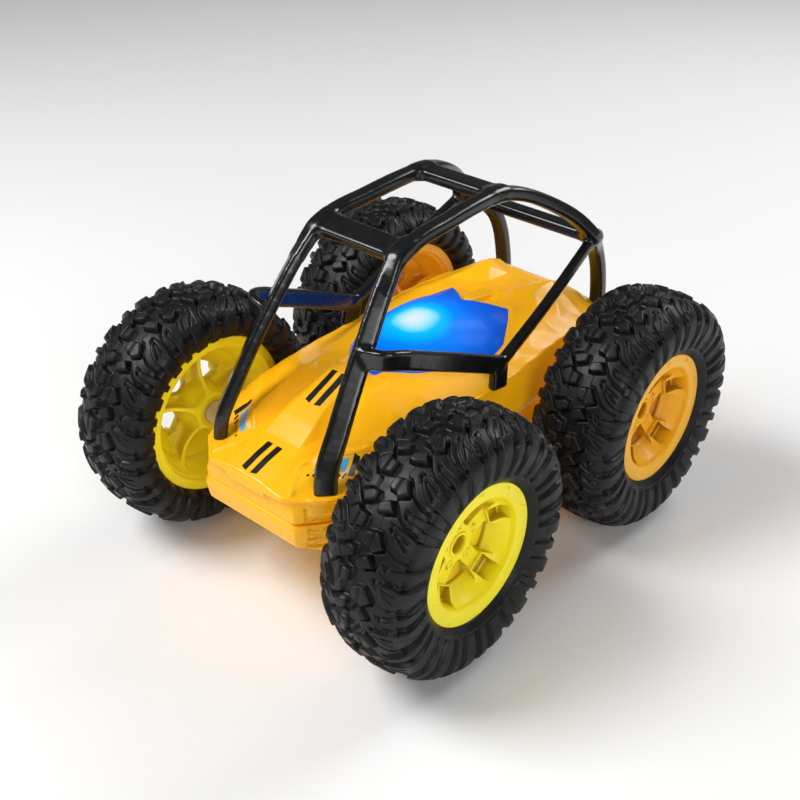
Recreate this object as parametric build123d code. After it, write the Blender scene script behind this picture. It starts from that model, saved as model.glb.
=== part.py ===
from build123d import *
import os
from math import acos, cos, pi, radians, sin, tan

# Radio-controlled stunt car: four big lug tyres driven through a gear row on each side,
# a faceted two-part shell, a glowing canopy and a moulded roll cage.
# Frame: origin on the ground at the car's centre, front towards -Y, +X to the side, +Z up.
# All sizes are in millimetres.

os.makedirs("parts", exist_ok=True)

# ---------------------------------------------------------------- driving dimensions
TYRE_RADIUS = 55.5
TYRE_CENTRE_X = 74.5
TYRE_HALF_WIDTH = 21.0
HALF_WHEELBASE = 64.5
AXLE_Z = TYRE_RADIUS
WALL = 2.0
FIT = 0.05
CLEAR = 0.3

# Wheel, measured outwards from the car's centre plane
HUB_OUTER_X = 91.0
HUB_INNER_X = 58.6
BEAD_OUTER_RADIUS = 30.3
BEAD_INNER_RADIUS = 37.0
RING_BORE_RADIUS = 24.3
SPOKE_FACE_X = 80.0
SPOKE_BACK_X = 75.0
SPOKES = 5
RING_BOLTS = 10
BOSS_RADIUS = 7.0
COLLAR_RADIUS = 5.0
COLLAR_X = (46.4, 62.0)
SCREW_WELL_RADIUS = 3.8

# Axles and bushes
AXLE_RADIUS = 2.5
AXLE_INNER_X = 29.5
AXLE_END_X = 70.0
BUSH_RADIUS = 4.5
BUSH_X = (40.6, 45.8)

# Gear train of one side: planes along X, then teeth and modules
ROW_X = (31.0, 35.0)
FAST_X = (26.5, 29.5)
INNER_PLATE_X = (23.5, 25.0)
OUTER_PLATE_X = (36.0, 37.5)
ROW_MODULE = 1.0
FAST_MODULE = 0.5
AXLE_TEETH = 24
IDLER_TEETH = 36
CENTRE_TEETH = 33
SMALL_TEETH = 10
LARGE_TEETH = 36
PINION_TEETH = 10
PIN_RADIUS = 1.5
SHAFT_RADIUS = 1.0
BACKLASH = 0.3
REDUCTION_ANGLE = 45.0

IDLER_Y = HALF_WHEELBASE - ROW_MODULE * (AXLE_TEETH + IDLER_TEETH) / 2
REDUCTION_REACH = ROW_MODULE * (IDLER_TEETH + SMALL_TEETH) / 2
REDUCTION_Y = -IDLER_Y + REDUCTION_REACH * cos(radians(REDUCTION_ANGLE))
REDUCTION_Z = REDUCTION_REACH * sin(radians(REDUCTION_ANGLE))
MOTOR_Y = REDUCTION_Y
MOTOR_Z = REDUCTION_Z - FAST_MODULE * (LARGE_TEETH + PINION_TEETH) / 2
MOTOR_RADIUS = 10.0
MOTOR_BACK_X = 1.5

# Shell outline: (y, half profile from the parting edge to the centre line), heights from the axle
UPPER_STATIONS = [
    (-101.0, [(23.5, 0.0), (24.5, 3.0), (22.4, 8.0), (10.0, 8.0), (0.0, 7.9)]),
    (-99.5, [(26.5, 0.0), (27.5, 4.0), (23.5, 11.0), (10.0, 13.4), (0.0, 13.9)]),
    (-90.0, [(34.0, 0.0), (35.5, 6.0), (34.5, 11.5), (15.0, 16.0), (0.0, 18.0)]),
    (-80.0, [(40.0, 0.0), (42.5, 7.0), (38.0, 14.5), (13.0, 20.0), (0.0, 20.5)]),
    (-70.0, [(42.5, 0.0), (45.0, 8.0), (40.5, 18.5), (12.0, 25.5), (0.0, 26.0)]),
    (-58.0, [(43.0, 0.0), (45.5, 9.0), (41.0, 22.0), (14.0, 30.5), (0.0, 32.0)]),
    (-45.0, [(43.0, 0.0), (45.5, 9.0), (41.5, 23.5), (12.0, 34.0), (0.0, 36.8)]),
    (-34.0, [(43.0, 0.0), (45.5, 9.0), (42.0, 24.0), (9.0, 33.5), (0.0, 34.0)]),
    (-18.0, [(43.0, 0.0), (46.0, 9.0), (43.0, 24.5), (20.0, 31.0), (0.0, 31.0)]),
    (0.0, [(43.0, 0.0), (47.0, 9.0), (43.5, 24.5), (28.0, 29.0), (0.0, 29.0)]),
    (20.0, [(43.0, 0.0), (47.0, 9.0), (43.5, 25.0), (30.8, 28.2), (0.0, 28.4)]),
    (36.0, [(43.0, 0.0), (46.0, 9.0), (43.0, 26.5), (25.0, 31.3), (0.0, 31.5)]),
    (48.0, [(43.0, 0.0), (45.5, 9.0), (42.5, 27.0), (16.5, 35.5), (0.0, 36.5)]),
    (62.0, [(43.0, 0.0), (45.5, 9.0), (41.5, 27.0), (17.0, 36.5), (0.0, 36.2)]),
    (78.0, [(42.5, 0.0), (44.5, 9.0), (38.5, 27.0), (18.0, 39.5), (0.0, 35.0)]),
    (92.0, [(40.0, 0.0), (41.5, 8.0), (36.0, 23.0), (20.0, 31.0), (0.0, 31.0)]),
    (107.0, [(32.5, 0.0), (34.0, 7.5), (32.0, 19.0), (15.0, 20.5), (0.0, 21.0)]),
]
LOWER_STATIONS = [
    (-101.0, [(23.5, 0.0), (25.6, -3.0), (25.6, -7.8), (12.0, -9.9), (0.0, -9.9)]),
    (-90.0, [(34.0, 0.0), (36.0, -3.0), (34.0, -10.0), (20.0, -14.0), (0.0, -14.0)]),
    (-78.0, [(40.5, 0.0), (42.5, -3.0), (39.0, -13.0), (26.0, -21.0), (0.0, -21.0)]),
    (-60.0, [(43.0, 0.0), (45.0, -3.0), (42.0, -15.0), (38.0, -21.0), (0.0, -21.0)]),
    (60.0, [(43.0, 0.0), (45.0, -3.0), (42.0, -15.0), (38.0, -21.0), (0.0, -21.0)]),
    (80.0, [(42.0, 0.0), (43.5, -3.0), (40.0, -13.0), (28.0, -21.0), (0.0, -21.0)]),
    (107.0, [(32.5, 0.0), (34.0, -3.0), (29.5, -7.5), (17.0, -10.0), (0.0, -10.0)]),
]
BELLY_Z = 21.0

# Canopy: (y, half width, rim height, crown height)
CANOPY_STATIONS = [
    (-34.4, 5.5, 34.5, 37.0),
    (-26.3, 12.7, 33.1, 40.0),
    (-17.7, 19.7, 31.5, 42.0),
    (-5.0, 25.8, 29.5, 43.5),
    (10.0, 29.7, 28.6, 43.5),
    (20.3, 30.3, 28.4, 42.5),
    (27.0, 29.2, 29.5, 41.0),
    (36.0, 24.1, 31.6, 39.5),
    (42.0, 20.6, 33.3, 39.0),
    (47.0, 16.1, 35.6, 38.0),
]
CANOPY_WALL = 1.5
NOTCH_TIP_Y = 33.4
NOTCH_HALF_WIDTH = 16.5
NOTCH_BACK_Y = 47.6

# Roll cage centre lines on the +X side, heights from the axle
RAIL_PATH = [
    (31.0, -86.3, 11.0),
    (30.6, -85.3, 19.0),
    (29.3, -76.5, 35.2),
    (26.6, -60.0, 60.5),
    (23.2, -40.5, 86.0),
    (22.5, -35.0, 91.5),
    (22.2, -27.0, 94.5),
    (21.6, -5.0, 96.8),
    (21.1, 18.0, 98.2),
    (21.1, 29.7, 98.0),
    (23.0, 42.0, 95.0),
    (27.5, 57.0, 87.5),
    (33.5, 70.5, 77.5),
    (38.0, 79.4, 67.0),
    (33.2, 86.5, 62.0),
    (29.8, 94.0, 54.5),
    (29.0, 98.8, 44.0),
    (28.8, 100.8, 35.0),
    (28.6, 101.9, 27.0),
    (28.5, 102.2, 18.0),
]
SIDE_BAR_PATH = [
    (26.6, -61.0, 58.0),
    (34.0, -58.5, 61.0),
    (39.7, -54.5, 61.5),
    (41.5, -25.0, 48.6),
    (42.8, 6.8, 34.0),
]
DIAGONAL_PATH = [
    (42.8, 6.8, 34.0),
    (41.5, 40.0, 49.0),
    (38.0, 79.4, 67.0),
]
CLIP_PATH = [
    (42.8, 7.5, 36.0),
    (43.4, 4.5, 28.5),
    (43.8, 2.4, 22.0),
]
RAIL_SIZE = (7.0, 6.4)
SIDE_BAR_SIZE = (4.0, 8.5)
DIAGONAL_SIZE = (4.4, 4.8)
CROSSBAR_THICKNESS = 5.4
# Crossbars: end on the +X side, direction of the width, width
CROSSBARS = [
    ((22.3, -31.4, 92.7), (0.0, 0.92, 0.38), 11.0),
    ((21.1, 29.2, 97.9), (0.0, 1.0, 0.0), 10.5),
    ((38.0, 79.4, 67.0), (0.0, 1.0, 0.0), 8.5),
]
BOOT_HALF_SIZE = (4.8, 4.5)
CLIP_SIZE = (4.0, 6.0)
FRONT_FOOT = (31.0, -86.3)
REAR_FOOT = (28.5, 102.0)
FRONT_BOOT = (8.0, 18.5)
REAR_BOOT = (14.0, 23.0)
FOOT_SCREW_TOP = (17.0, 26.0)
FOOT_SCREW_LENGTH = 12.2

# Screw posts (x, y) on the +X side and the parts that they hold
CASE_POSTS = [(15.0, -88.0), (12.0, -50.0), (17.0, 84.0)]
POST_RADIUS = 3.4
SCREW_RADIUS = 1.3
SCREW_HEAD_RADIUS = 2.6
SCREW_HEAD = 1.6

# Battery bay and switch in the belly
BATTERY_BOX = ((-20.0, 6.0), (20.0, 58.0))
BATTERY_HEIGHT = 14.0
COVER_LIP = 2.0
COVER_THICKNESS = 1.8
EAR_HALF_WIDTH = 4.0
EAR_LENGTH = 5.0
COVER_SCREW_RADIUS = 1.0
COVER_HEAD_RADIUS = 1.8
COVER_SCREW_Y = BATTERY_BOX[1][1] + COVER_LIP + EAR_LENGTH / 2
SWITCH_Y = 73.0
SWITCH_KNOB = (5.0, 4.0)
SWITCH_TRAVEL = 3.0


# ---------------------------------------------------------------- helpers
def solid_from_rings(rings, split_at):
    """Closed solid over a row of point rings, with flat triangular facets between them."""
    count = len(rings[0])
    faces = [Face(Wire.make_polygon(rings[0])), Face(Wire.make_polygon(rings[-1]))]
    for near, far in zip(rings, rings[1:]):
        for index in range(count):
            after = (index + 1) % count
            a, b, c, d = near[index], near[after], far[after], far[index]
            if index < split_at:
                triangles = [(a, b, c), (a, c, d)]
            else:
                triangles = [(a, b, d), (b, c, d)]
            for triangle in triangles:
                if len(set(triangle)) == 3:
                    faces.append(Face(Wire.make_polygon(triangle)))
    return Solid(Shell(faces))


def mirrored_ring(y, half):
    """Ring of points from a half profile, mirrored across the centre plane."""
    right = [(x, y, z + AXLE_Z) for x, z in half]
    left = [(-x, y, z + AXLE_Z) for x, z in reversed(half) if x > 0]
    return right + left


def shell_block(stations):
    """Solid block of a shell's outer form."""
    rings = [mirrored_ring(y, half) for y, half in stations]
    return solid_from_rings(rings, len(stations[0][1]))


def shell_cavity(stations, sign):
    """Solid of the space inside a shell, open past the parting plane."""
    rings = []
    last = len(stations) - 1
    for index, (y, half) in enumerate(stations):
        shift = WALL if index == 0 else -WALL if index == last else 0.0
        inner = [(max(half[0][0] - WALL, 0.0), -sign * WALL)]
        for order, (x, z) in enumerate(half[1:], start=1):
            drop = 0.5 * WALL if order == 1 else WALL
            inner.append((x - WALL if x > 0 else 0.0, z - sign * drop))
        rings.append(mirrored_ring(y + shift, inner))
    return solid_from_rings(rings, len(stations[0][1]))


def bar(path, reference, size):
    """Bar with a chamfered rectangular section that follows a path of points."""
    half_w, half_d = size[0] / 2, size[1] / 2
    cut = min(half_w, half_d) * 0.45
    outline = [
        (half_w, half_d - cut), (half_w - cut, half_d), (cut - half_w, half_d), (-half_w, half_d - cut),
        (-half_w, cut - half_d), (cut - half_w, -half_d), (half_w - cut, -half_d), (half_w, cut - half_d),
    ]
    points = [Vector(x, y, z + AXLE_Z) for x, y, z in path]
    rings = []
    for index, point in enumerate(points):
        before = points[max(index - 1, 0)]
        after = points[min(index + 1, len(points) - 1)]
        along = (after - before).normalized()
        across = Vector(*reference)
        across = (across - along * across.dot(along)).normalized()
        up = along.cross(across)
        ring = [point + across * u + up * v for u, v in outline]
        rings.append([tuple(corner) for corner in ring])
    return solid_from_rings(rings, len(outline))


def rod_x(radius, x_range, y=0.0, z=0.0):
    """Round rod along X between two places, at a height measured from the axle."""
    length = x_range[1] - x_range[0]
    middle = (x_range[0] + x_range[1]) / 2
    return Pos(middle, y, z + AXLE_Z) * Rot(0, 90, 0) * Cylinder(radius, length)


def rod_z(radius, z_range, x, y):
    """Round rod along Z between two heights measured from the axle."""
    length = z_range[1] - z_range[0]
    middle = (z_range[0] + z_range[1]) / 2 + AXLE_Z
    return Pos(x, y, middle) * Cylinder(radius, length)


def block(low, high):
    """Box between two corners, with heights measured from the axle."""
    size = [b - a for a, b in zip(low, high)]
    middle = [(a + b) / 2 for a, b in zip(low, high)]
    return Pos(middle[0], middle[1], middle[2] + AXLE_Z) * Box(*size)


def revolved(profile, y):
    """Solid of revolution about a wheel axle, from (x, radius) points."""
    outline = [(x, y, AXLE_Z + radius) for x, radius in profile]
    face = Face(Wire.make_polygon(outline))
    return revolve(face, Axis((0, y, AXLE_Z), (1, 0, 0)))


def plate(points, x_range):
    """Flat plate in the side plane, from (y, height) points."""
    outline = Face(Wire.make_polygon([(x_range[0], y, z + AXLE_Z) for y, z in points]))
    return extrude(outline, x_range[1] - x_range[0], dir=(1, 0, 0))


def to_side(shape, side):
    """The same shape on the +X or the -X side."""
    return shape if side == "right" else mirror(shape, Plane.YZ)


def save(name, *shapes):
    """Writes one node, as one solid or a group of separate solids."""
    solids = [solid for shape in shapes for solid in shape.solids()]
    whole = solids[0] if len(solids) == 1 else Compound(solids)
    export_step(whole, f"parts/{name}.step")


# ---------------------------------------------------------------- gears
def involute(angle):
    return tan(angle) - angle


def half_tooth_angle(radius, pitch_radius, teeth, backlash):
    """Half the angle that a tooth spans at a radius."""
    base_radius = pitch_radius * cos(radians(20))
    at_pitch = (pi * pitch_radius / teeth - backlash / 2) / (2 * pitch_radius)
    pressure = acos(min(1.0, base_radius / max(radius, base_radius)))
    return at_pitch + involute(radians(20)) - involute(pressure)


def gear(teeth, module, x_range, bore, centre, phase):
    """Spur gear in the side plane, with flat-sided teeth and a round bore."""
    pitch_radius = teeth * module / 2
    base_radius = pitch_radius * cos(radians(20))
    root = pitch_radius - 1.2 * module
    tip = pitch_radius + 0.85 * module
    flank = sorted({root, max(root, base_radius), pitch_radius, tip})
    outline = []
    for tooth in range(teeth):
        middle = phase + 2 * pi * tooth / teeth
        sides = [(radius, half_tooth_angle(radius, pitch_radius, teeth, BACKLASH * module)) for radius in flank]
        rising = [(radius, middle - half) for radius, half in sides]
        falling = [(radius, middle + half) for radius, half in reversed(sides)]
        for radius, angle in rising + falling:
            outline.append((centre[0] + radius * cos(angle), centre[1] + radius * sin(angle)))
    body = plate(outline, x_range)
    return body - rod_x(bore, (x_range[0] - 1, x_range[1] + 1), *centre)


def meshed_phase(centre_a, teeth_a, phase_a, centre_b, teeth_b, module):
    """Phase that puts gear b in mesh with gear a."""
    line = Vector(centre_b[0] - centre_a[0], centre_b[1] - centre_a[1])
    direction = radians(Vector(1, 0, 0).get_signed_angle(line, Vector(0, 0, 1)))
    pitch = pi * module
    radius_a, radius_b = teeth_a * module / 2, teeth_b * module / 2
    offset = pitch / 2 - radius_a * (phase_a - direction)
    return direction + pi + offset / radius_b


AXLE_GEAR_FRONT = (-HALF_WHEELBASE, 0.0)
IDLER_FRONT = (-IDLER_Y, 0.0)
CENTRE_GEAR = (0.0, 0.0)
IDLER_REAR = (IDLER_Y, 0.0)
AXLE_GEAR_REAR = (HALF_WHEELBASE, 0.0)
REDUCTION = (REDUCTION_Y, REDUCTION_Z)
MOTOR = (MOTOR_Y, MOTOR_Z)

PHASE_AXLE_FRONT = 0.0
PHASE_IDLER_FRONT = meshed_phase(
    AXLE_GEAR_FRONT, AXLE_TEETH, PHASE_AXLE_FRONT, IDLER_FRONT, IDLER_TEETH, ROW_MODULE)
PHASE_CENTRE = meshed_phase(
    IDLER_FRONT, IDLER_TEETH, PHASE_IDLER_FRONT, CENTRE_GEAR, CENTRE_TEETH, ROW_MODULE)
PHASE_IDLER_REAR = meshed_phase(
    CENTRE_GEAR, CENTRE_TEETH, PHASE_CENTRE, IDLER_REAR, IDLER_TEETH, ROW_MODULE)
PHASE_AXLE_REAR = meshed_phase(
    IDLER_REAR, IDLER_TEETH, PHASE_IDLER_REAR, AXLE_GEAR_REAR, AXLE_TEETH, ROW_MODULE)
PHASE_SMALL = meshed_phase(
    IDLER_FRONT, IDLER_TEETH, PHASE_IDLER_FRONT, REDUCTION, SMALL_TEETH, ROW_MODULE)
PHASE_LARGE = 0.0
PHASE_PINION = meshed_phase(REDUCTION, LARGE_TEETH, PHASE_LARGE, MOTOR, PINION_TEETH, FAST_MODULE)


def make_gear_train(side):
    """Gears, pins, plates and motor of one side."""
    pin_bore = PIN_RADIUS + FIT
    row_gears = {
        f"idler_gear_front_{side}": (IDLER_TEETH, IDLER_FRONT, PHASE_IDLER_FRONT),
        f"centre_gear_{side}": (CENTRE_TEETH, CENTRE_GEAR, PHASE_CENTRE),
        f"idler_gear_rear_{side}": (IDLER_TEETH, IDLER_REAR, PHASE_IDLER_REAR),
    }
    for name, (teeth, centre, phase) in row_gears.items():
        save(name, to_side(gear(teeth, ROW_MODULE, ROW_X, pin_bore, centre, phase), side))
    ends = {"front": (AXLE_GEAR_FRONT, PHASE_AXLE_FRONT), "rear": (AXLE_GEAR_REAR, PHASE_AXLE_REAR)}
    for end, (centre, phase) in ends.items():
        axle_gear = gear(AXLE_TEETH, ROW_MODULE, ROW_X, AXLE_RADIUS, centre, phase)
        save(f"axle_gear_{end}_{side}", to_side(axle_gear, side))
    small = gear(SMALL_TEETH, ROW_MODULE, (FAST_X[1], ROW_X[1]), pin_bore, REDUCTION, PHASE_SMALL)
    large = gear(LARGE_TEETH, FAST_MODULE, FAST_X, pin_bore, REDUCTION, PHASE_LARGE)
    save(f"reduction_gear_{side}", to_side(small + large, side))
    pinion = gear(PINION_TEETH, FAST_MODULE, FAST_X, SHAFT_RADIUS, MOTOR, PHASE_PINION)
    save(f"motor_pinion_{side}", to_side(pinion, side))

    pin_places = [IDLER_FRONT, CENTRE_GEAR, IDLER_REAR, REDUCTION]
    pins = [rod_x(PIN_RADIUS, (INNER_PLATE_X[0], OUTER_PLATE_X[1]), *place) for place in pin_places]
    save(f"gear_pins_{side}", *[to_side(pin, side) for pin in pins])
    make_gearbox_plates(side, pin_places)
    make_motor(side)


def make_gearbox_plates(side, pin_places):
    """The two plates that carry one side's gear pins."""
    lobe = [
        (-72.0, -8.0), (72.0, -8.0), (72.0, 8.0), (-2.0, 8.0),
        (REDUCTION_Y + 6.0, REDUCTION_Z + 4.0), (REDUCTION_Y - 6.0, REDUCTION_Z + 4.0), (-40.0, 8.0), (-72.0, 8.0),
    ]
    for name, x_range in (("inner", INNER_PLATE_X), ("outer", OUTER_PLATE_X)):
        body = plate(lobe, x_range)
        past = (x_range[0] - 1, x_range[1] + 1)
        for place in pin_places:
            body -= rod_x(PIN_RADIUS, past, *place)
        if name == "outer":
            for y in (-HALF_WHEELBASE, HALF_WHEELBASE):
                body -= rod_x(AXLE_RADIUS + CLEAR, past, y)
        else:
            body -= rod_x(3.3, past, *MOTOR)
        save(f"gearbox_{name}_plate_{side}", to_side(body, side))


def make_motor(side):
    """Can motor with its front boss, and the rotor shaft that carries the pinion."""
    can = rod_x(MOTOR_RADIUS, (MOTOR_BACK_X + 1.0, INNER_PLATE_X[0]), *MOTOR)
    flats = block((0, MOTOR_Y - 11, MOTOR_Z - 7.6), (INNER_PLATE_X[0], MOTOR_Y + 11, MOTOR_Z + 7.6))
    body = (can & flats) + rod_x(3.0, (INNER_PLATE_X[0] - 0.5, INNER_PLATE_X[1]), *MOTOR)
    body += rod_x(4.0, (MOTOR_BACK_X, MOTOR_BACK_X + 1.5), *MOTOR)
    body -= rod_x(SHAFT_RADIUS + FIT, (MOTOR_BACK_X + 2.0, INNER_PLATE_X[1] + 1), *MOTOR)
    save(f"motor_{side}", to_side(body, side))
    shaft = rod_x(SHAFT_RADIUS, (MOTOR_BACK_X + 2.5, FAST_X[1] + 0.5), *MOTOR)
    save(f"motor_shaft_{side}", to_side(shaft, side))


# ---------------------------------------------------------------- wheels
def make_tyre(y):
    """Hollow rubber tyre that grips the hub's two bead seats."""
    x = TYRE_CENTRE_X
    top = TYRE_RADIUS
    side = TYRE_HALF_WIDTH
    outside = [
        (HUB_OUTER_X, 30.4), (x + side - 2.2, 33.0), (x + side - 0.6, 38.0), (x + side, top - 12.5),
        (x + side - 0.6, top - 8.3), (x + side - 2.8, top - 4.7), (x + side - 7.5, top - 1.9), (x + 7.5, top - 0.5),
        (x, top), (x - 7.5, top - 0.5), (x - side + 7.5, top - 1.9), (x - side + 2.8, top - 4.7),
        (x - side + 0.6, top - 8.3), (x - side, top - 12.5), (x - side + 1.3, 39.0), (HUB_INNER_X, 37.1),
    ]
    inside = [
        (61.2, 37.1), (61.2, 34.2), (63.5, 34.0), (x - side + 5.0, 42.0), (x - side + 6.0, 46.5), (x - 10.0, 49.3),
        (x, 50.0), (x + 10.0, 49.3), (x + side - 6.0, 46.0), (x + side - 5.0, 41.0), (x + 14.0, 34.0),
        (86.0, 27.0), (88.0, 27.0), (88.0, 30.4),
    ]
    return revolved(outside + inside, y)


def make_hub(y):
    """Five-spoke hub: bead ring, dished barrel, spokes, centre disc and boss."""
    wall = [
        (HUB_OUTER_X, RING_BORE_RADIUS), (HUB_OUTER_X, BEAD_OUTER_RADIUS), (88.0, BEAD_OUTER_RADIUS),
        (88.0, 27.0), (79.5, 27.0), (71.0, 33.3), (61.2, 34.2), (61.2, BEAD_INNER_RADIUS),
        (HUB_INNER_X, BEAD_INNER_RADIUS), (HUB_INNER_X, 35.6), (61.4, 32.4), (70.0, 31.0), (77.2, 24.8),
    ]
    hub = revolved(wall, y)
    hub += rod_x(11.0, (SPOKE_BACK_X, SPOKE_FACE_X), y)
    hub += rod_x(BOSS_RADIUS, (COLLAR_X[1], SPOKE_BACK_X), y)
    for index in range(SPOKES):
        turn = Pos(0, y, AXLE_Z) * Rot(360 * index / SPOKES, 0, 0) * Pos(0, -y, -AXLE_Z)
        outline = [(y - 3.6, 8.0), (y + 3.6, 8.0), (y + 3.6, 17.0), (y + 8.2, 24.6), (y - 8.2, 24.6), (y - 3.6, 17.0)]
        hub += turn * plate(outline, (SPOKE_BACK_X + 1.0, SPOKE_FACE_X))
        hub += turn * rod_x(1.1, (SPOKE_FACE_X, SPOKE_FACE_X + 0.6), y, 7.5)
    for index in range(RING_BOLTS):
        turn = Pos(0, y, AXLE_Z) * Rot(360 * index / RING_BOLTS, 0, 0) * Pos(0, -y, -AXLE_Z)
        hub += turn * rod_x(1.3, (HUB_OUTER_X, HUB_OUTER_X + 0.6), y, 27.3)
    hub -= rod_x(AXLE_RADIUS, (COLLAR_X[1] - 1, AXLE_END_X), y)
    hub -= rod_x(1.4, (AXLE_END_X - 1, SPOKE_FACE_X + 1), y)
    hub -= rod_x(SCREW_WELL_RADIUS, (AXLE_END_X + 2.0, SPOKE_FACE_X + 1), y)
    return hub


def make_wheel(end, side):
    """Tyre, hub, axle, collar, bush and hub screw at one corner."""
    y = -HALF_WHEELBASE if end == "front" else HALF_WHEELBASE
    corner = f"{end}_{side}"
    axle = rod_x(AXLE_RADIUS, (AXLE_INNER_X, AXLE_END_X), y)
    axle -= rod_x(1.2, (AXLE_END_X - 8.0, AXLE_END_X + 1), y)
    collar = rod_x(COLLAR_RADIUS, COLLAR_X, y) - rod_x(AXLE_RADIUS, (40, 70), y)
    bush = rod_x(BUSH_RADIUS, BUSH_X, y) + rod_x(6.0, (BUSH_X[0] - 1.0, BUSH_X[0]), y)
    bush -= rod_x(AXLE_RADIUS + FIT, (38, 50), y)
    screw = rod_x(1.2, (AXLE_END_X - 7.0, AXLE_END_X + 2.5), y)
    screw += rod_x(3.2, (AXLE_END_X + 2.0, AXLE_END_X + 3.8), y)
    screw -= block((AXLE_END_X + 3.0, y - 2.2, -0.4), (AXLE_END_X + 4.0, y + 2.2, 0.4))
    screw -= block((AXLE_END_X + 3.0, y - 0.4, -2.2), (AXLE_END_X + 4.0, y + 0.4, 2.2))
    pieces = {
        "tyre": make_tyre(y), "hub": make_hub(y), "axle": axle,
        "hub_collar": collar, "axle_bush": bush, "hub_screw": screw,
    }
    for name, shape in pieces.items():
        save(f"{name}_{corner}", to_side(shape, side))


# ---------------------------------------------------------------- shells, canopy and cage
def both_sides(places):
    return [(sign * x, y) for x, y in places for sign in (1, -1)]


def bush_seats():
    """Rods that cut the bush seats out of both shells."""
    seats = []
    for y in (-HALF_WHEELBASE, HALF_WHEELBASE):
        for side in ("right", "left"):
            seats.append(to_side(rod_x(BUSH_RADIUS, (BUSH_X[0], 50.0), y), side))
    return seats


def foot_screw_reach(y):
    """Heights of the underside and tip of the shank of a cage foot's screw."""
    top = FOOT_SCREW_TOP[0] if y < 0 else FOOT_SCREW_TOP[1]
    return top - FOOT_SCREW_LENGTH, top


def notch_wedge():
    """Raised wedge of the upper shell that fills the notch at the canopy's back."""
    top = [(0.0, NOTCH_TIP_Y + 0.4), (NOTCH_HALF_WIDTH, NOTCH_BACK_Y + 0.6), (-NOTCH_HALF_WIDTH, NOTCH_BACK_Y + 0.6)]
    heights = (38.6, 36.0, 36.0)
    lower = [(x, y, AXLE_Z + 27.0) for x, y in top]
    upper = [(x, y, AXLE_Z + height) for (x, y), height in zip(top, heights)]
    return solid_from_rings([lower, upper], 3)


def make_shells():
    """Upper and lower shell; returns the upper block that other pieces stand on."""
    upper_block = shell_block(UPPER_STATIONS) + notch_wedge()
    lower_block = shell_block(LOWER_STATIONS)
    upper_cavity = shell_cavity(UPPER_STATIONS, 1)
    lower_cavity = shell_cavity(LOWER_STATIONS, -1)
    posts = both_sides(CASE_POSTS)
    feet = both_sides([FRONT_FOOT, REAR_FOOT])

    upper = upper_block - upper_cavity
    lower = lower_block - lower_cavity
    for x, y in posts:
        upper += rod_z(POST_RADIUS, (0, 40), x, y) & upper_block
        lower += rod_z(POST_RADIUS, (-30, 0), x, y) & lower_block
        upper -= rod_z(SCREW_RADIUS, (-1, 8.0), x, y)
        lower -= rod_z(SCREW_RADIUS, (-30, 1), x, y)
        lower -= rod_z(SCREW_HEAD_RADIUS + 0.2, (-30, -7.0), x, y)
    for x, y in feet:
        upper += rod_z(POST_RADIUS, (foot_screw_reach(y)[0], 40), x, y) & upper_block
        upper -= rod_z(SCREW_RADIUS, (0, 24), x, y)
    for seat in bush_seats():
        upper -= seat
        lower -= seat
    upper -= block((-10, -8, 20), (10, 14, 40))
    lower -= cover_plate(0.25, -BELLY_Z - 1, -BELLY_Z + WALL)
    lower -= switch_slot()
    lower += battery_tray()
    save("upper_shell", upper)
    save("lower_shell", lower)
    screws = []
    for x, y in posts:
        shank = rod_z(SCREW_RADIUS, (-7.0, 7.0), x, y)
        screws.append(shank + rod_z(SCREW_HEAD_RADIUS, (-7.0 - SCREW_HEAD, -7.0), x, y))
    screws.append(cover_screw())
    save("case_screws", *screws)
    return upper_block


def cover_plate(gap, low, high):
    """Outline of the battery cover with its screw ear, grown by a gap."""
    (x0, y0), (x1, y1) = BATTERY_BOX
    grow = COVER_LIP + gap
    ear = EAR_HALF_WIDTH + gap
    lid = block((x0 - grow, y0 - grow, low), (x1 + grow, y1 + grow, high))
    return lid + block((-ear, y1, low), (ear, y1 + COVER_LIP + EAR_LENGTH + gap, high))


def battery_tray():
    """Cross walls that hold the battery pack, and the boss for the cover's screw."""
    (x0, y0), (x1, y1) = BATTERY_BOX
    floor = -BELLY_Z + WALL
    tray = block((x0, y0 - 3.8, floor - 1.0), (x1, y0 - 2.4, -8.0))
    tray += block((x0, y1 + 2.4, floor), (x1, y1 + 3.8, -8.0))
    tray += block((-8.0, y1 + 2.4, floor), (8.0, y1 + COVER_LIP + EAR_LENGTH + 1.5, floor + 6.0))
    return tray - rod_z(COVER_SCREW_RADIUS, (floor - 1, floor + 5.0), 0, COVER_SCREW_Y)


def cover_screw():
    """The screw that holds the battery cover by its ear."""
    shank = rod_z(COVER_SCREW_RADIUS, (-BELLY_Z + 0.8, -BELLY_Z + WALL + 4.0), 0, COVER_SCREW_Y)
    return shank + rod_z(COVER_HEAD_RADIUS, (-BELLY_Z + 0.1, -BELLY_Z + 0.9), 0, COVER_SCREW_Y)


def switch_slot():
    """Slot in the belly for the power switch."""
    half_x, half_y = SWITCH_KNOB[0] / 2 + CLEAR, SWITCH_KNOB[1] / 2 + CLEAR
    return block(
        (-half_x, SWITCH_Y - half_y, -BELLY_Z - 2), (half_x, SWITCH_Y + half_y + SWITCH_TRAVEL, -BELLY_Z + 4))


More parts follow.
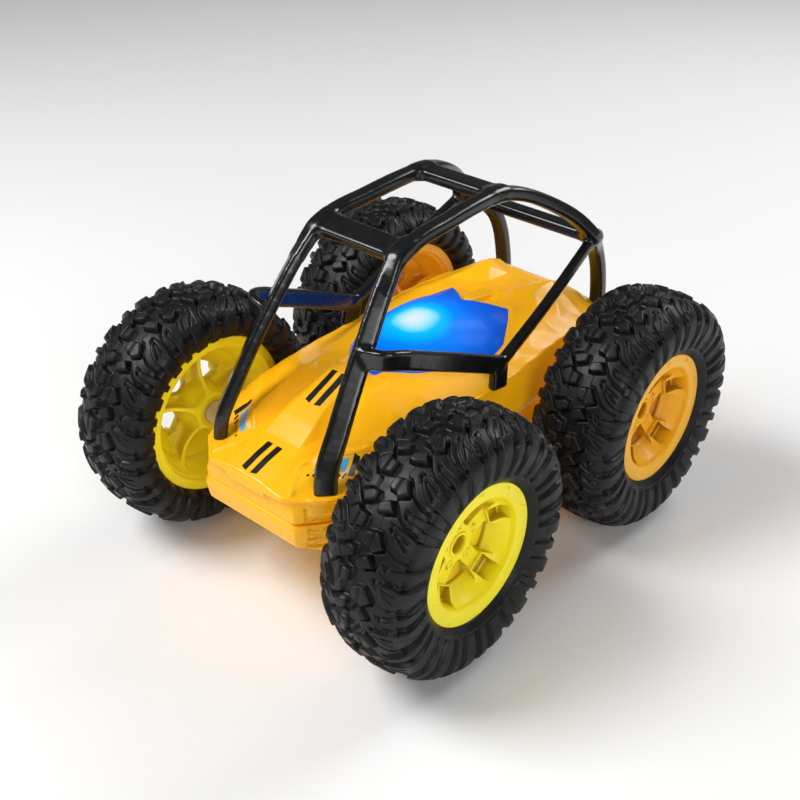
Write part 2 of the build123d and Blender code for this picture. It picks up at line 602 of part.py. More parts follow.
def make_electrics():
    """Battery pack and cover, switch knob, circuit boards and lamp."""
    (x0, y0), (x1, y1) = BATTERY_BOX
    base = -BELLY_Z + COVER_THICKNESS
    cover = cover_plate(0.0, -BELLY_Z, base)
    cover -= rod_z(COVER_SCREW_RADIUS, (-BELLY_Z - 1, base + 1), 0, COVER_SCREW_Y)
    cover -= rod_z(COVER_HEAD_RADIUS, (-BELLY_Z - 1, -BELLY_Z + 0.9), 0, COVER_SCREW_Y)
    save("battery_cover", cover)
    cell_radius = BATTERY_HEIGHT / 2
    cells = []
    for x in (-cell_radius * 1.9, 0.0, cell_radius * 1.9):
        turned = Pos(x, (y0 + y1) / 2, base + cell_radius + 0.3 + AXLE_Z) * Rot(90, 0, 0)
        cells.append(turned * Cylinder(cell_radius, y1 - y0 - 2.0))
    save("battery_pack", cells[0] + cells[1] + cells[2])
    half_x, half_y = SWITCH_KNOB[0] / 2, SWITCH_KNOB[1] / 2
    knob = block((-half_x, SWITCH_Y - half_y, -BELLY_Z - 1.5), (half_x, SWITCH_Y + half_y, -BELLY_Z + 3.0))
    knob += block(
        (-half_x - 2, SWITCH_Y - half_y - 1.5, -BELLY_Z + WALL + CLEAR),
        (half_x + 2, SWITCH_Y + half_y + 1.5, -BELLY_Z + 4.0))
    save("power_switch", knob)
    save("circuit_board", block((-19, 4, 8.0), (19, 56, 9.6)))
    save("led_board", block((-8, -6, 19.0), (8, 12, 20.4)))
    lamp = rod_z(2.5, (20.4, 24.0), 0, 3) + Pos(0, 3, 24.0 + AXLE_Z) * Sphere(2.5)
    save("led_lamp", lamp)


def make_canopy(upper_block):
    """Clear dome over the lamp, notched at the back, standing on the upper shell."""
    def half(width, rim, crown, inset):
        rise = crown - rim
        points = [
            (width, rim), (width * 0.93, rim + 0.42 * rise), (width * 0.7, rim + 0.74 * rise),
            (width * 0.36, rim + 0.94 * rise), (0.0, crown),
        ]
        return [(max(x - inset, 0.0) if x > 0 else 0.0, z - inset) for x, z in points]

    def dome(inset):
        rings = []
        last = len(CANOPY_STATIONS) - 1
        for index, (y, width, rim, crown) in enumerate(CANOPY_STATIONS):
            shift = inset if index == 0 else -inset if index == last else 0.0
            outline = half(width, rim, crown, inset)
            skirt = [(outline[0][0], rim - 5.0)]
            rings.append(mirrored_ring(y + shift, skirt + outline))
        return solid_from_rings(rings, 6)

    canopy = dome(0.0) - dome(CANOPY_WALL) - upper_block
    notch = [(0.0, NOTCH_TIP_Y), (NOTCH_HALF_WIDTH + 1, NOTCH_BACK_Y + 1), (-NOTCH_HALF_WIDTH - 1, NOTCH_BACK_Y + 1)]
    cutter = Face(Wire.make_polygon([(x, y, AXLE_Z + 20) for x, y in notch]))
    canopy -= extrude(cutter, 30, dir=(0, 0, 1))
    save("canopy", max(canopy.solids(), key=lambda solid: solid.volume))


def make_cage(upper_block):
    """One-piece moulded cage: two rails, three crossbars, two side frames and four boots."""
    lateral = (1, 0, 0)
    rail = bar(RAIL_PATH, lateral, RAIL_SIZE)
    rail += bar(SIDE_BAR_PATH, (1, 0.2, 0.1), SIDE_BAR_SIZE)
    rail += bar(DIAGONAL_PATH, lateral, DIAGONAL_SIZE)
    rail += bar(CLIP_PATH, lateral, CLIP_SIZE)
    for (x, y), (low, high) in ((FRONT_FOOT, FRONT_BOOT), (REAR_FOOT, REAR_BOOT)):
        half_x, half_y = BOOT_HALF_SIZE
        rail += block((x - half_x, y - half_y, low), (x + half_x, y + half_y, high))
    cage = rail + mirror(rail, Plane.YZ)
    for (x, y, z), direction, width in CROSSBARS:
        cage += bar([(-x, y, z), (x, y, z)], direction, (width, CROSSBAR_THICKNESS))
    cage -= upper_block
    screws = []
    for x, y in both_sides([FRONT_FOOT, REAR_FOOT]):
        bottom, top = foot_screw_reach(y)
        cage -= rod_z(SCREW_RADIUS, (0, top), x, y)
        head = rod_z(SCREW_HEAD_RADIUS, (bottom - 1.0, bottom), x, y)
        screws.append(head + rod_z(SCREW_RADIUS, (bottom, top), x, y))
    save("roll_cage", max(cage.solids(), key=lambda solid: solid.volume))
    save("cage_screws", *screws)


for car_side in ("left", "right"):
    make_gear_train(car_side)
    for car_end in ("front", "rear"):
        make_wheel(car_end, car_side)
shell_top = make_shells()
make_electrics()
make_canopy(shell_top)
make_cage(shell_top)
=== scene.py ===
import bpy
import numpy as np
from mathutils import Matrix, Vector


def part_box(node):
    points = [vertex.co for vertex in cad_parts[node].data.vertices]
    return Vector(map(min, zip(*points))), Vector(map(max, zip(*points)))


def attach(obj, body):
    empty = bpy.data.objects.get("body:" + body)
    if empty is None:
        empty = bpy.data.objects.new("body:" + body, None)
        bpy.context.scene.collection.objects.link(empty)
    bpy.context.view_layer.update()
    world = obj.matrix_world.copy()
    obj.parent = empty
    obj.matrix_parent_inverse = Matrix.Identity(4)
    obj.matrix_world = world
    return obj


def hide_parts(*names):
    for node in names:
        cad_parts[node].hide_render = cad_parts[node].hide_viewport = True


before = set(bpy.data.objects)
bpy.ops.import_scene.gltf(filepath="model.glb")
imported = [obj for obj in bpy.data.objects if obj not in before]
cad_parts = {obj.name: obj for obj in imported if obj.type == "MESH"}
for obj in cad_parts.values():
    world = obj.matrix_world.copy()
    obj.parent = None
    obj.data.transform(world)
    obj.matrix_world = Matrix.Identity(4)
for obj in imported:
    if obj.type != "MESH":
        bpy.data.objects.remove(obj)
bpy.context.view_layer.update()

MM = 0.001
SIDES = ("left", "right")
ENDS = ("front", "rear")


def centre(node):
    """Middle of a CAD node's box, in millimetres."""
    low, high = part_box(node)
    return (np.array(low) + np.array(high)) / 2 / MM


AXLE_Z = float(centre("axle_front_right")[2])
WHEEL_Y = float(centre("axle_rear_right")[1])
TYRE_X = float(centre("tyre_front_right")[0])


# ---------------------------------------------------------------- mesh helpers
def make_piece(name, points, faces, material):
    """Object from points in millimetres in the row frame."""
    mesh = bpy.data.meshes.new(name)
    mesh.from_pydata([tuple(p) for p in np.asarray(points, float) * MM], [], [tuple(f) for f in faces])
    mesh.update()
    mesh.materials.append(material)
    mesh.shade_smooth()
    obj = bpy.data.objects.new(name, mesh)
    bpy.context.scene.collection.objects.link(obj)
    return obj


def make_piece_fast(name, points, quads, material):
    """Like make_piece, for a large mesh of quads only."""
    mesh = bpy.data.meshes.new(name)
    points = np.ascontiguousarray(points, dtype=np.float32) * np.float32(MM)
    quads = np.ascontiguousarray(quads, dtype=np.int32)
    mesh.vertices.add(len(points))
    mesh.vertices.foreach_set("co", points.ravel())
    mesh.loops.add(quads.size)
    mesh.loops.foreach_set("vertex_index", quads.ravel())
    mesh.polygons.add(len(quads))
    mesh.polygons.foreach_set("loop_start", np.arange(0, quads.size, 4, dtype=np.int32))
    mesh.update(calc_edges=True)
    mesh.materials.append(material)
    mesh.shade_smooth()
    obj = bpy.data.objects.new(name, mesh)
    bpy.context.scene.collection.objects.link(obj)
    return obj


def relax(piece, passes):
    """Evens out the small steps that sampling leaves on a surface."""
    modifier = piece.modifiers.new("relax", "SMOOTH")
    modifier.factor = 0.5
    modifier.iterations = passes


def smooth_step(value, low, high):
    t = np.clip((value - low) / (high - low), 0.0, 1.0)
    return t * t * (3.0 - 2.0 * t)


def smooth_min(a, b, radius):
    """Union of two distance fields with a fillet."""
    h = np.clip(0.5 + 0.5 * (b - a) / radius, 0.0, 1.0)
    return b + (a - b) * h - radius * h * (1.0 - h)


def smooth_max(a, b, radius):
    return -smooth_min(-a, -b, radius)


def polygon_field(points, x, y):
    """Signed distance to a polygon, negative inside."""
    points = np.asarray(points, float)
    nearest = np.full(np.broadcast(x, y).shape, 1e9)
    inside = np.zeros(nearest.shape, bool)
    for (ax, ay), (bx, by) in zip(points, np.roll(points, -1, axis=0)):
        ex, ey = bx - ax, by - ay
        wx, wy = x - ax, y - ay
        t = np.clip((wx * ex + wy * ey) / (ex * ex + ey * ey), 0.0, 1.0)
        nearest = np.minimum(nearest, (wx - ex * t) ** 2 + (wy - ey * t) ** 2)
        if ay != by:
            crosses = ((ay > y) != (by > y)) & (x < ex * (y - ay) / ey + ax)
            inside ^= crosses
    distance = np.sqrt(nearest)
    return np.where(inside, -distance, distance)


def line_distance(points, x, y):
    """Distance to an open line of points."""
    nearest = np.full(np.broadcast(x, y).shape, 1e9)
    for (ax, ay), (bx, by) in zip(points, points[1:]):
        ex, ey = bx - ax, by - ay
        t = np.clip(((x - ax) * ex + (y - ay) * ey) / (ex * ex + ey * ey), 0.0, 1.0)
        nearest = np.minimum(nearest, (x - ax - ex * t) ** 2 + (y - ay - ey * t) ** 2)
    return np.sqrt(nearest)


def surface_nets(field, origin, step):
    """Points and quads on the zero level of a sampled field, negative inside."""
    solid = field < 0
    cells = tuple(n - 1 for n in field.shape)
    count = np.zeros(cells, np.int8)
    for i in (0, 1):
        for j in (0, 1):
            for k in (0, 1):
                count += solid[i:i + cells[0], j:j + cells[1], k:k + cells[2]]
    active = (count > 0) & (count < 8)
    number = np.full(cells, -1, np.int32)
    number[active] = np.arange(int(active.sum()))
    base = np.stack(np.nonzero(active), axis=1)
    total = np.zeros((len(base), 3))
    crossings = np.zeros(len(base))
    for axis in range(3):
        others = [a for a in range(3) if a != axis]
        for b in (0, 1):
            for c in (0, 1):
                offset = np.zeros(3, int)
                offset[others[0]], offset[others[1]] = b, c
                near = base + offset
                far = near.copy()
                far[:, axis] += 1
                f0 = field[near[:, 0], near[:, 1], near[:, 2]]
                f1 = field[far[:, 0], far[:, 1], far[:, 2]]
                hit = (f0 < 0) != (f1 < 0)
                t = np.where(hit, f0 / np.where(hit, f0 - f1, 1.0), 0.0)
                place = np.repeat(offset[None, :].astype(float), len(base), axis=0)
                place[:, axis] += t
                total[hit] += place[hit]
                crossings[hit] += 1
    points = np.asarray(origin) + (base + total / crossings[:, None]) * step
    quads = []
    for axis in range(3):
        u, v = [a for a in range(3) if a != axis]
        moved = np.moveaxis(solid, axis, 0)
        low, high = moved[:-1, 1:-1, 1:-1], moved[1:, 1:-1, 1:-1]
        i, j, k = np.nonzero(low != high)
        outward = low[i, j, k]
        ring = []
        for dj, dk in ((0, 0), (1, 0), (1, 1), (0, 1)):
            where = [None, None, None]
            where[axis], where[u], where[v] = i, j + dj, k + dk
            ring.append(number[where[0], where[1], where[2]])
        quad = np.stack(ring, axis=1)
        turn = outward if axis != 1 else ~outward
        quad[~turn] = quad[~turn][:, ::-1]
        quads.append(quad)
    return points, np.concatenate(quads)


# ---------------------------------------------------------------- materials
class Nodes:
    """Small helper for building a node material."""

    def __init__(self, name):
        self.material = bpy.data.materials.new(name)
        self.material.use_nodes = True
        self.tree = self.material.node_tree
        self.shader = self.tree.nodes["Principled BSDF"]
        self.coords = self.tree.nodes.new("ShaderNodeTexCoord").outputs["Object"]

    def add(self, kind, **settings):
        node = self.tree.nodes.new(kind)
        for key, value in settings.items():
            setattr(node, key, value)
        return node

    def link(self, source, target):
        self.tree.links.new(source, target)

    def put(self, target, value):
        if isinstance(value, bpy.types.NodeSocket):
            self.link(value, target)
        else:
            target.default_value = value

    def math(self, operation, a, b=0.0, c=0.0):
        node = self.add("ShaderNodeMath", operation=operation)
        for index, value in enumerate((a, b, c)):
            self.put(node.inputs[index], value)
        return node.outputs[0]

    def noise(self, scale, detail=4.0, roughness=0.55, distortion=0.0, vector=None):
        node = self.add("ShaderNodeTexNoise")
        self.link(vector or self.coords, node.inputs["Vector"])
        node.inputs["Scale"].default_value = scale
        node.inputs["Detail"].default_value = detail
        node.inputs["Roughness"].default_value = roughness
        node.inputs["Distortion"].default_value = distortion
        return node.outputs["Fac"]

    def mix(self, factor, a, b):
        node = self.add("ShaderNodeMix", data_type="RGBA")
        self.put(node.inputs["Factor"], factor)
        for socket, value in ((node.inputs[6], a), (node.inputs[7], b)):
            self.put(socket, value if isinstance(value, bpy.types.NodeSocket) else (*value, 1.0))
        return node.outputs[2]

    def ramp(self, factor, low, high, start=0.0, end=1.0):
        node = self.add("ShaderNodeMapRange", interpolation_type="SMOOTHSTEP")
        self.put(node.inputs["Value"], factor)
        for name, value in (("From Min", low), ("From Max", high), ("To Min", start), ("To Max", end)):
            node.inputs[name].default_value = value
        return node.outputs["Result"]

    def split(self):
        node = self.add("ShaderNodeSeparateXYZ")
        self.link(self.coords, node.inputs[0])
        return node.outputs

    def bump(self, layers):
        """Stacks bumps given as (height, strength, distance in millimetres)."""
        normal = None
        for height, strength, distance in layers:
            node = self.add("ShaderNodeBump")
            node.inputs["Strength"].default_value = strength
            node.inputs["Distance"].default_value = distance * MM
            self.link(height, node.inputs["Height"])
            if normal:
                self.link(normal, node.inputs["Normal"])
            normal = node.outputs["Normal"]
        self.link(normal, self.shader.inputs["Normal"])
        return normal

    def cavity(self, colour, shade_tone, distance=4.0, low=0.1, high=0.8):
        """Colour that turns to a deeper one in the recesses: painted shade, read from ambient occlusion."""
        node = self.add("ShaderNodeAmbientOcclusion", samples=8)
        node.inputs["Distance"].default_value = distance * MM
        return self.mix(self.ramp(node.outputs["AO"], low, high), shade_tone, colour)

    def finish(self, **values):
        names = {"rough": "Roughness", "metal": "Metallic", "coat": "Coat Weight", "coat_rough": "Coat Roughness",
                 "spec": "Specular IOR Level", "sss": "Subsurface Weight", "sss_scale": "Subsurface Scale",
                 "glow": "Emission Strength"}
        for key, value in values.items():
            self.put(self.shader.inputs[names[key]], value)
        return self.material


def moulded_plastic(name, colour, shade_tone, rough=0.3, coat=0.25, sss=0.0, grain=0.25, reach=4.0, glow=0.0):
    """Moulded plastic: faint flow mottling, fine grain and a slightly uneven gloss, with painted shade in the recesses
    out to reach mm and, where glow is set, a painted glow in its own tone.
    """
    nodes = Nodes(name)
    flow = nodes.noise(18.0, 2.0, distortion=0.8)
    # The mottle's second tone borrows a little of the shade tone.
    near = tuple(0.85 * a + 0.15 * b for a, b in zip(colour, shade_tone))
    tone = nodes.mix(nodes.ramp(flow, 0.3, 0.75), near, colour)
    # Painted shade: the tone darkens to the shade tone in recesses within reach mm.
    tone = nodes.cavity(tone, shade_tone, reach)
    nodes.link(tone, nodes.shader.inputs["Base Color"])
    # Painted glow: the plastic emits its own tone at strength glow, standing in for light passing through it.
    nodes.link(tone, nodes.shader.inputs["Emission Color"])
    gloss = nodes.ramp(nodes.noise(220.0, 5.0), 0.3, 0.75, rough * 0.85, rough * 1.25)
    nodes.bump([(nodes.noise(90.0, 2.0), 0.05, 0.6), (nodes.noise(2600.0, 2.0), grain * 0.2, 0.05)])
    return nodes.finish(rough=gloss, coat=coat, coat_rough=0.12, sss=sss, sss_scale=0.004, glow=glow)


def metal(name, colour, dark, rough=0.28, scale=(900.0, 900.0, 60.0)):
    """Metal with drawn streaks and small stains."""
    nodes = Nodes(name)
    stretch = nodes.add("ShaderNodeMapping")
    nodes.link(nodes.coords, stretch.inputs["Vector"])
    stretch.inputs["Scale"].default_value = scale
    streaks = nodes.noise(1.0, 4.0, vector=stretch.outputs["Vector"])
    nodes.link(nodes.mix(nodes.ramp(nodes.noise(300.0), 0.35, 0.8), colour, dark), nodes.shader.inputs["Base Color"])
    gloss = nodes.ramp(streaks, 0.3, 0.7, rough * 0.7, rough * 1.4)
    nodes.bump([(streaks, 0.12, 0.05)])
    return nodes.finish(rough=gloss, metal=1.0)


def rubber_material():
    nodes = Nodes("tyre_rubber")
    dust = nodes.ramp(nodes.noise(60.0, 6.0), 0.45, 0.75)
    tone = nodes.mix(dust, (0.0045, 0.0048, 0.0055), (0.0085, 0.009, 0.010))
    nodes.link(tone, nodes.shader.inputs["Base Color"])
    gloss = nodes.ramp(nodes.noise(180.0, 5.0), 0.3, 0.7, 0.36, 0.56)
    nodes.bump([(nodes.noise(700.0, 3.0), 0.10, 0.15), (nodes.noise(4000.0, 2.0), 0.12, 0.04)])
    return nodes.finish(rough=gloss, spec=0.32)


BODY_LIGHT = (1.0, 0.49, 0.006)
BODY_FLOW = (0.99, 0.46, 0.005)
RUBBER = rubber_material()
# Hubs: the second colour is painted shade, darkening the inner dish and windows out to 22 mm, and the glow is painted
# light standing in for light through the plastic.
FRONT_HUB = moulded_plastic("front_hub_plastic", (1.0, 0.86, 0.012), (0.30, 0.15, 0.001), 0.42, 0.1, 0.04,
                            reach=22.0, glow=0.13)
REAR_HUB = moulded_plastic("rear_hub_plastic", (1.0, 0.50, 0.012), (0.26, 0.08, 0.001), 0.42, 0.1, 0.03,
                           reach=22.0, glow=0.10)
# For these plastics the second colour is the painted shade tone of their recesses.
CAGE = moulded_plastic("cage_plastic", (0.006, 0.006, 0.007), (0.003, 0.003, 0.003), 0.24, 0.25)
BLACK = moulded_plastic("black_plastic", (0.018, 0.018, 0.019), (0.006, 0.006, 0.006), 0.45, 0.1, grain=1.0)
GEARBOX = moulded_plastic("gearbox_plastic", (0.05, 0.05, 0.055), (0.015, 0.015, 0.017), 0.5, 0.0, grain=1.2)
NYLON = moulded_plastic("nylon", (0.74, 0.69, 0.58), (0.45, 0.39, 0.28), 0.45, 0.0, 0.15)
STEEL = metal("steel", (0.62, 0.62, 0.63), (0.35, 0.34, 0.33))
CAN = metal("motor_can", (0.72, 0.72, 0.70), (0.5, 0.5, 0.48), 0.35, (80.0, 900.0, 900.0))
BRASS = metal("brass", (0.80, 0.58, 0.24), (0.5, 0.33, 0.12), 0.3)


def circuit_material():
    nodes = Nodes("circuit_board")
    cells = nodes.add("ShaderNodeTexVoronoi", feature="DISTANCE_TO_EDGE", distance="MANHATTAN")
    nodes.link(nodes.coords, cells.inputs["Vector"])
    cells.inputs["Scale"].default_value = 420.0
    traces = nodes.ramp(cells.outputs["Distance"], 0.03, 0.07)
    nodes.link(nodes.mix(traces, (0.10, 0.42, 0.16), (0.010, 0.16, 0.05)), nodes.shader.inputs["Base Color"])
    nodes.bump([(traces, 0.3, 0.05)])
    return nodes.finish(rough=0.3, coat=0.5)


def wrap_material():
    nodes = Nodes("battery_wrap")
    folds = nodes.noise(240.0, 5.0, distortion=2.0)
    # Painted shade: the wrap is darker in the fold hollows and lighter on the crests, following the same noise as the
    # bump.
    nodes.link(nodes.mix(folds, (0.01, 0.05, 0.30), (0.02, 0.14, 0.55)), nodes.shader.inputs["Base Color"])
    nodes.bump([(folds, 0.4, 0.3)])
    return nodes.finish(rough=0.22, coat=0.6)


def lamp_material():
    nodes = Nodes("lamp")
    core = nodes.noise(500.0, 2.0)
    nodes.link(nodes.mix(core, (0.55, 0.85, 1.0), (0.9, 0.97, 1.0)), nodes.shader.inputs["Base Color"])
    nodes.link(nodes.mix(core, (0.3, 0.75, 1.0), (0.7, 0.92, 1.0)), nodes.shader.inputs["Emission Color"])
    nodes.bump([(core, 0.1, 0.1)])
    return nodes.finish(rough=0.1, glow=6.0)


# ---------------------------------------------------------------- tyres
PITCHES = 16
PITCH = 19.67
LUG = 3.2
TYRE_PROFILE = [
    (41.4, 16.5, 30.4), (37.9, 18.8, 33.0), (32.6, 20.4, 38.0), (27.6, 21.0, 43.0), (23.4, 20.4, 47.2),
    (19.15, 18.2, 50.8), (13.7, 13.5, 53.6), (7.5, 7.5, 55.0), (0.0, 0.0, 55.5), (-7.5, -7.5, 55.0),
    (-13.7, -13.5, 53.6), (-19.15, -18.2, 50.8), (-23.4, -20.4, 47.2), (-27.6, -21.0, 43.0),
    (-31.8, -19.7, 39.0), (-36.0, -15.9, 37.1),
]
WIDE_LUG = [(-3.3, 31.0), (2.9, 31.0), (2.9, 19.2), (0.8, 15.0), (-2.3, 11.8), (-5.3, 11.2), (-5.9, 11.6),
            (-4.9, 18.0), (-3.5, 23.0)]
NARROW_LUG = [(8.0, 31.0), (11.6, 31.0), (11.4, 22.5), (10.9, 14.9), (8.4, 14.9), (8.1, 22.5)]
WIDE_SIDE = [(-3.3, 22.0), (2.9, 22.0), (3.1, 39.0), (-3.3, 39.0)]
NARROW_SIDE = [(8.0, 22.0), (11.6, 22.0), (11.8, 40.4), (7.9, 40.4)]
WIDE_INSET = [(-2.1, 27.0), (1.8, 27.0), (1.9, 37.8), (-2.2, 37.8)]
LOW_EDGE = [(-6.6, 4.9), (-2.6, 4.9), (-2.0, 7.4), (3.2, 11.7), (4.4, 11.2), (6.2, 7.0), (6.9, 6.9), (7.2, 7.2),
            (10.6, 10.3), (11.6, 9.6), (12.6, 6.2), (13.06, 4.9)]
MIDDLE_BLOCK = [(-1.4, 6.9), (3.4, 10.7), (6.0, 6.8), (4.6, 5.2), (4.1, 1.3), (-0.3, 1.2), (-1.1, 4.7)]
SMALL_BLOCK = [(7.3, 5.7), (10.8, 9.0), (11.5, 6.3), (12.6, 4.1), (12.5, 1.2), (9.3, 1.2), (7.9, 3.6)]
PITS = [[(-5.9, 11.4), (-2.4, 11.6), (-4.2, 9.4), (-5.8, 9.2)], [(7.6, 12.2), (8.2, 14.9), (10.9, 14.9), (9.6, 12.6)]]
SIPES = [
    [(-2.0, 19.2), (-3.7, 12.6), (1.0, 19.2)], [(-5.2, 22.2), (-6.1, 15.8), (-8.1, 11.9), (-13.1, 6.6)],
    [(5.6, 23.0), (5.0, 16.9), (3.3, 13.0), (-1.9, 7.7)], [(-1.2, 4.9), (4.6, 4.9)],
]
GRADES = [[(-0.6, 25.0), (-0.9, 21.5)], [(8.9, 16.2), (10.6, 16.2)], [(8.9, 17.4), (10.7, 17.4)]]


def curve_through(stations, values, places):
    """Smooth curve through values at ordered stations, read at other places."""
    stations, values = np.asarray(stations, float), np.asarray(values, float)
    slopes = np.gradient(values, stations)
    index = np.clip(np.searchsorted(stations, places) - 1, 0, len(stations) - 2)
    width = stations[index + 1] - stations[index]
    t = (places - stations[index]) / width
    return ((2 * t**3 - 3 * t**2 + 1) * values[index] + (t**3 - 2 * t**2 + t) * width * slopes[index]
            + (3 * t**2 - 2 * t**3) * values[index + 1] + (t**3 - t**2) * width * slopes[index + 1])


def lug_height(x, v):
    """Height above the groove floor on the outer half of the tread pattern."""
    draft = 0.42
    height = np.zeros(np.broadcast(x, v).shape)

    def raise_to(level, field):
        nonlocal height
        height = np.maximum(height, level * smooth_step(-field, -draft, draft))

    for shift in (-PITCH, 0.0, PITCH):
        u = x + shift
        edge = np.interp(u, [p[0] for p in LOW_EDGE], [p[1] for p in LOW_EDGE], left=99.0, right=99.0)
        raise_to(1.7, np.maximum(edge - v, v - 22.8) + 0.0 * u)
        for points in (WIDE_LUG, NARROW_LUG, WIDE_SIDE, NARROW_SIDE, MIDDLE_BLOCK, SMALL_BLOCK):
            raise_to(LUG, polygon_field(points, u, v))
    for shift in (-PITCH, 0.0, PITCH):
        u = x + shift
        for points in PITS:
            height -= 1.2 * smooth_step(-polygon_field(points, u, v), -0.3, 0.3)
        for points in SIPES:
            height -= 1.2 * smooth_step(0.55 - line_distance(points, u, v), 0.0, 0.45)
        for points in GRADES:
            height += 0.35 * smooth_step(0.45 - line_distance(points, u, v), 0.0, 0.3)
        height -= 0.5 * smooth_step(-polygon_field(WIDE_INSET, u, v), -0.25, 0.25)
    return height


def make_tyre_mesh():
    """Right-hand tyre about its own centre: a ring of sculpted lugs, closed inside."""
    columns, rows = 52, 190
    table = np.array(TYRE_PROFILE)[::-1]
    v = np.linspace(table[0, 0], table[-1, 0], rows)
    dx = curve_through(table[:, 0], table[:, 1], v)
    radius = curve_through(table[:, 0], table[:, 2], v)
    slope_x, slope_r = np.gradient(dx, v), np.gradient(radius, v)
    length = np.hypot(slope_x, slope_r)
    normal_x, normal_r = -slope_r / length, slope_x / length
    x = (np.arange(columns) + 0.5) / columns * PITCH - PITCH / 2
    pattern_v = v / 0.94
    grid_x, grid_v = np.meshgrid(x, pattern_v, indexing="ij")
    turned_x = (-0.8 - grid_x + PITCH / 2) % PITCH - PITCH / 2
    height = np.where(grid_v >= 0, lug_height(grid_x, np.abs(grid_v)), lug_height(turned_x, np.abs(grid_v)))
    reach = np.abs(pattern_v)
    depth = LUG - 1.6 * smooth_step(reach, 22.0, 27.0)
    sink = np.clip(depth[None, :] - height, -0.1, LUG + 1.3)
    sink = np.where(sink > depth[None, :] + 1.2, depth[None, :] + 1.2, sink)
    sink *= smooth_step(table[-1, 0] - v, 3.6, 6.6)[None, :] * smooth_step(v - table[0, 0], 0.0, 0.8)[None, :]
    tall = np.tile(sink, (PITCHES, 1))
    angle = np.arange(PITCHES * columns) * 2 * np.pi / (PITCHES * columns)
    px = dx[None, :] - tall * normal_x[None, :]
    pr = radius[None, :] - tall * normal_r[None, :]
    lining = np.array([(13.0, 30.2), (12.0, 38.0), (9.0, 46.0), (0.0, 49.0), (-9.0, 46.0), (-12.0, 40.0), (-15.0, 36.6)])
    px = np.concatenate([px, np.broadcast_to(lining[:, 0], (len(angle), len(lining)))], axis=1)
    pr = np.concatenate([pr, np.broadcast_to(lining[:, 1], (len(angle), len(lining)))], axis=1)
    points = np.stack([px, pr * np.cos(angle)[:, None], pr * np.sin(angle)[:, None]], axis=-1)
    total = px.shape[1]
    index = np.arange(len(angle) * total).reshape(len(angle), total)
    ahead, beside = np.roll(index, -1, axis=0), np.roll(index, -1, axis=1)
    both = np.roll(ahead, -1, axis=1)
    quads = np.stack([index, ahead, both, beside], axis=-1).reshape(-1, 4)
    return points.reshape(-1, 3), quads


# ---------------------------------------------------------------- hubs
def lathe_field(profile, x, radius):
    """Field of a turned solid, from a table of its profile."""
    fine = np.arange(0.0, radius.max() + 0.3, 0.1)
    table = polygon_field(profile, x[:, None], fine[None, :])
    place = radius / 0.1
    low = place.astype(int)
    share = place - low
    return np.stack([row[low] * (1 - share) + row[low + 1] * share for row in table])


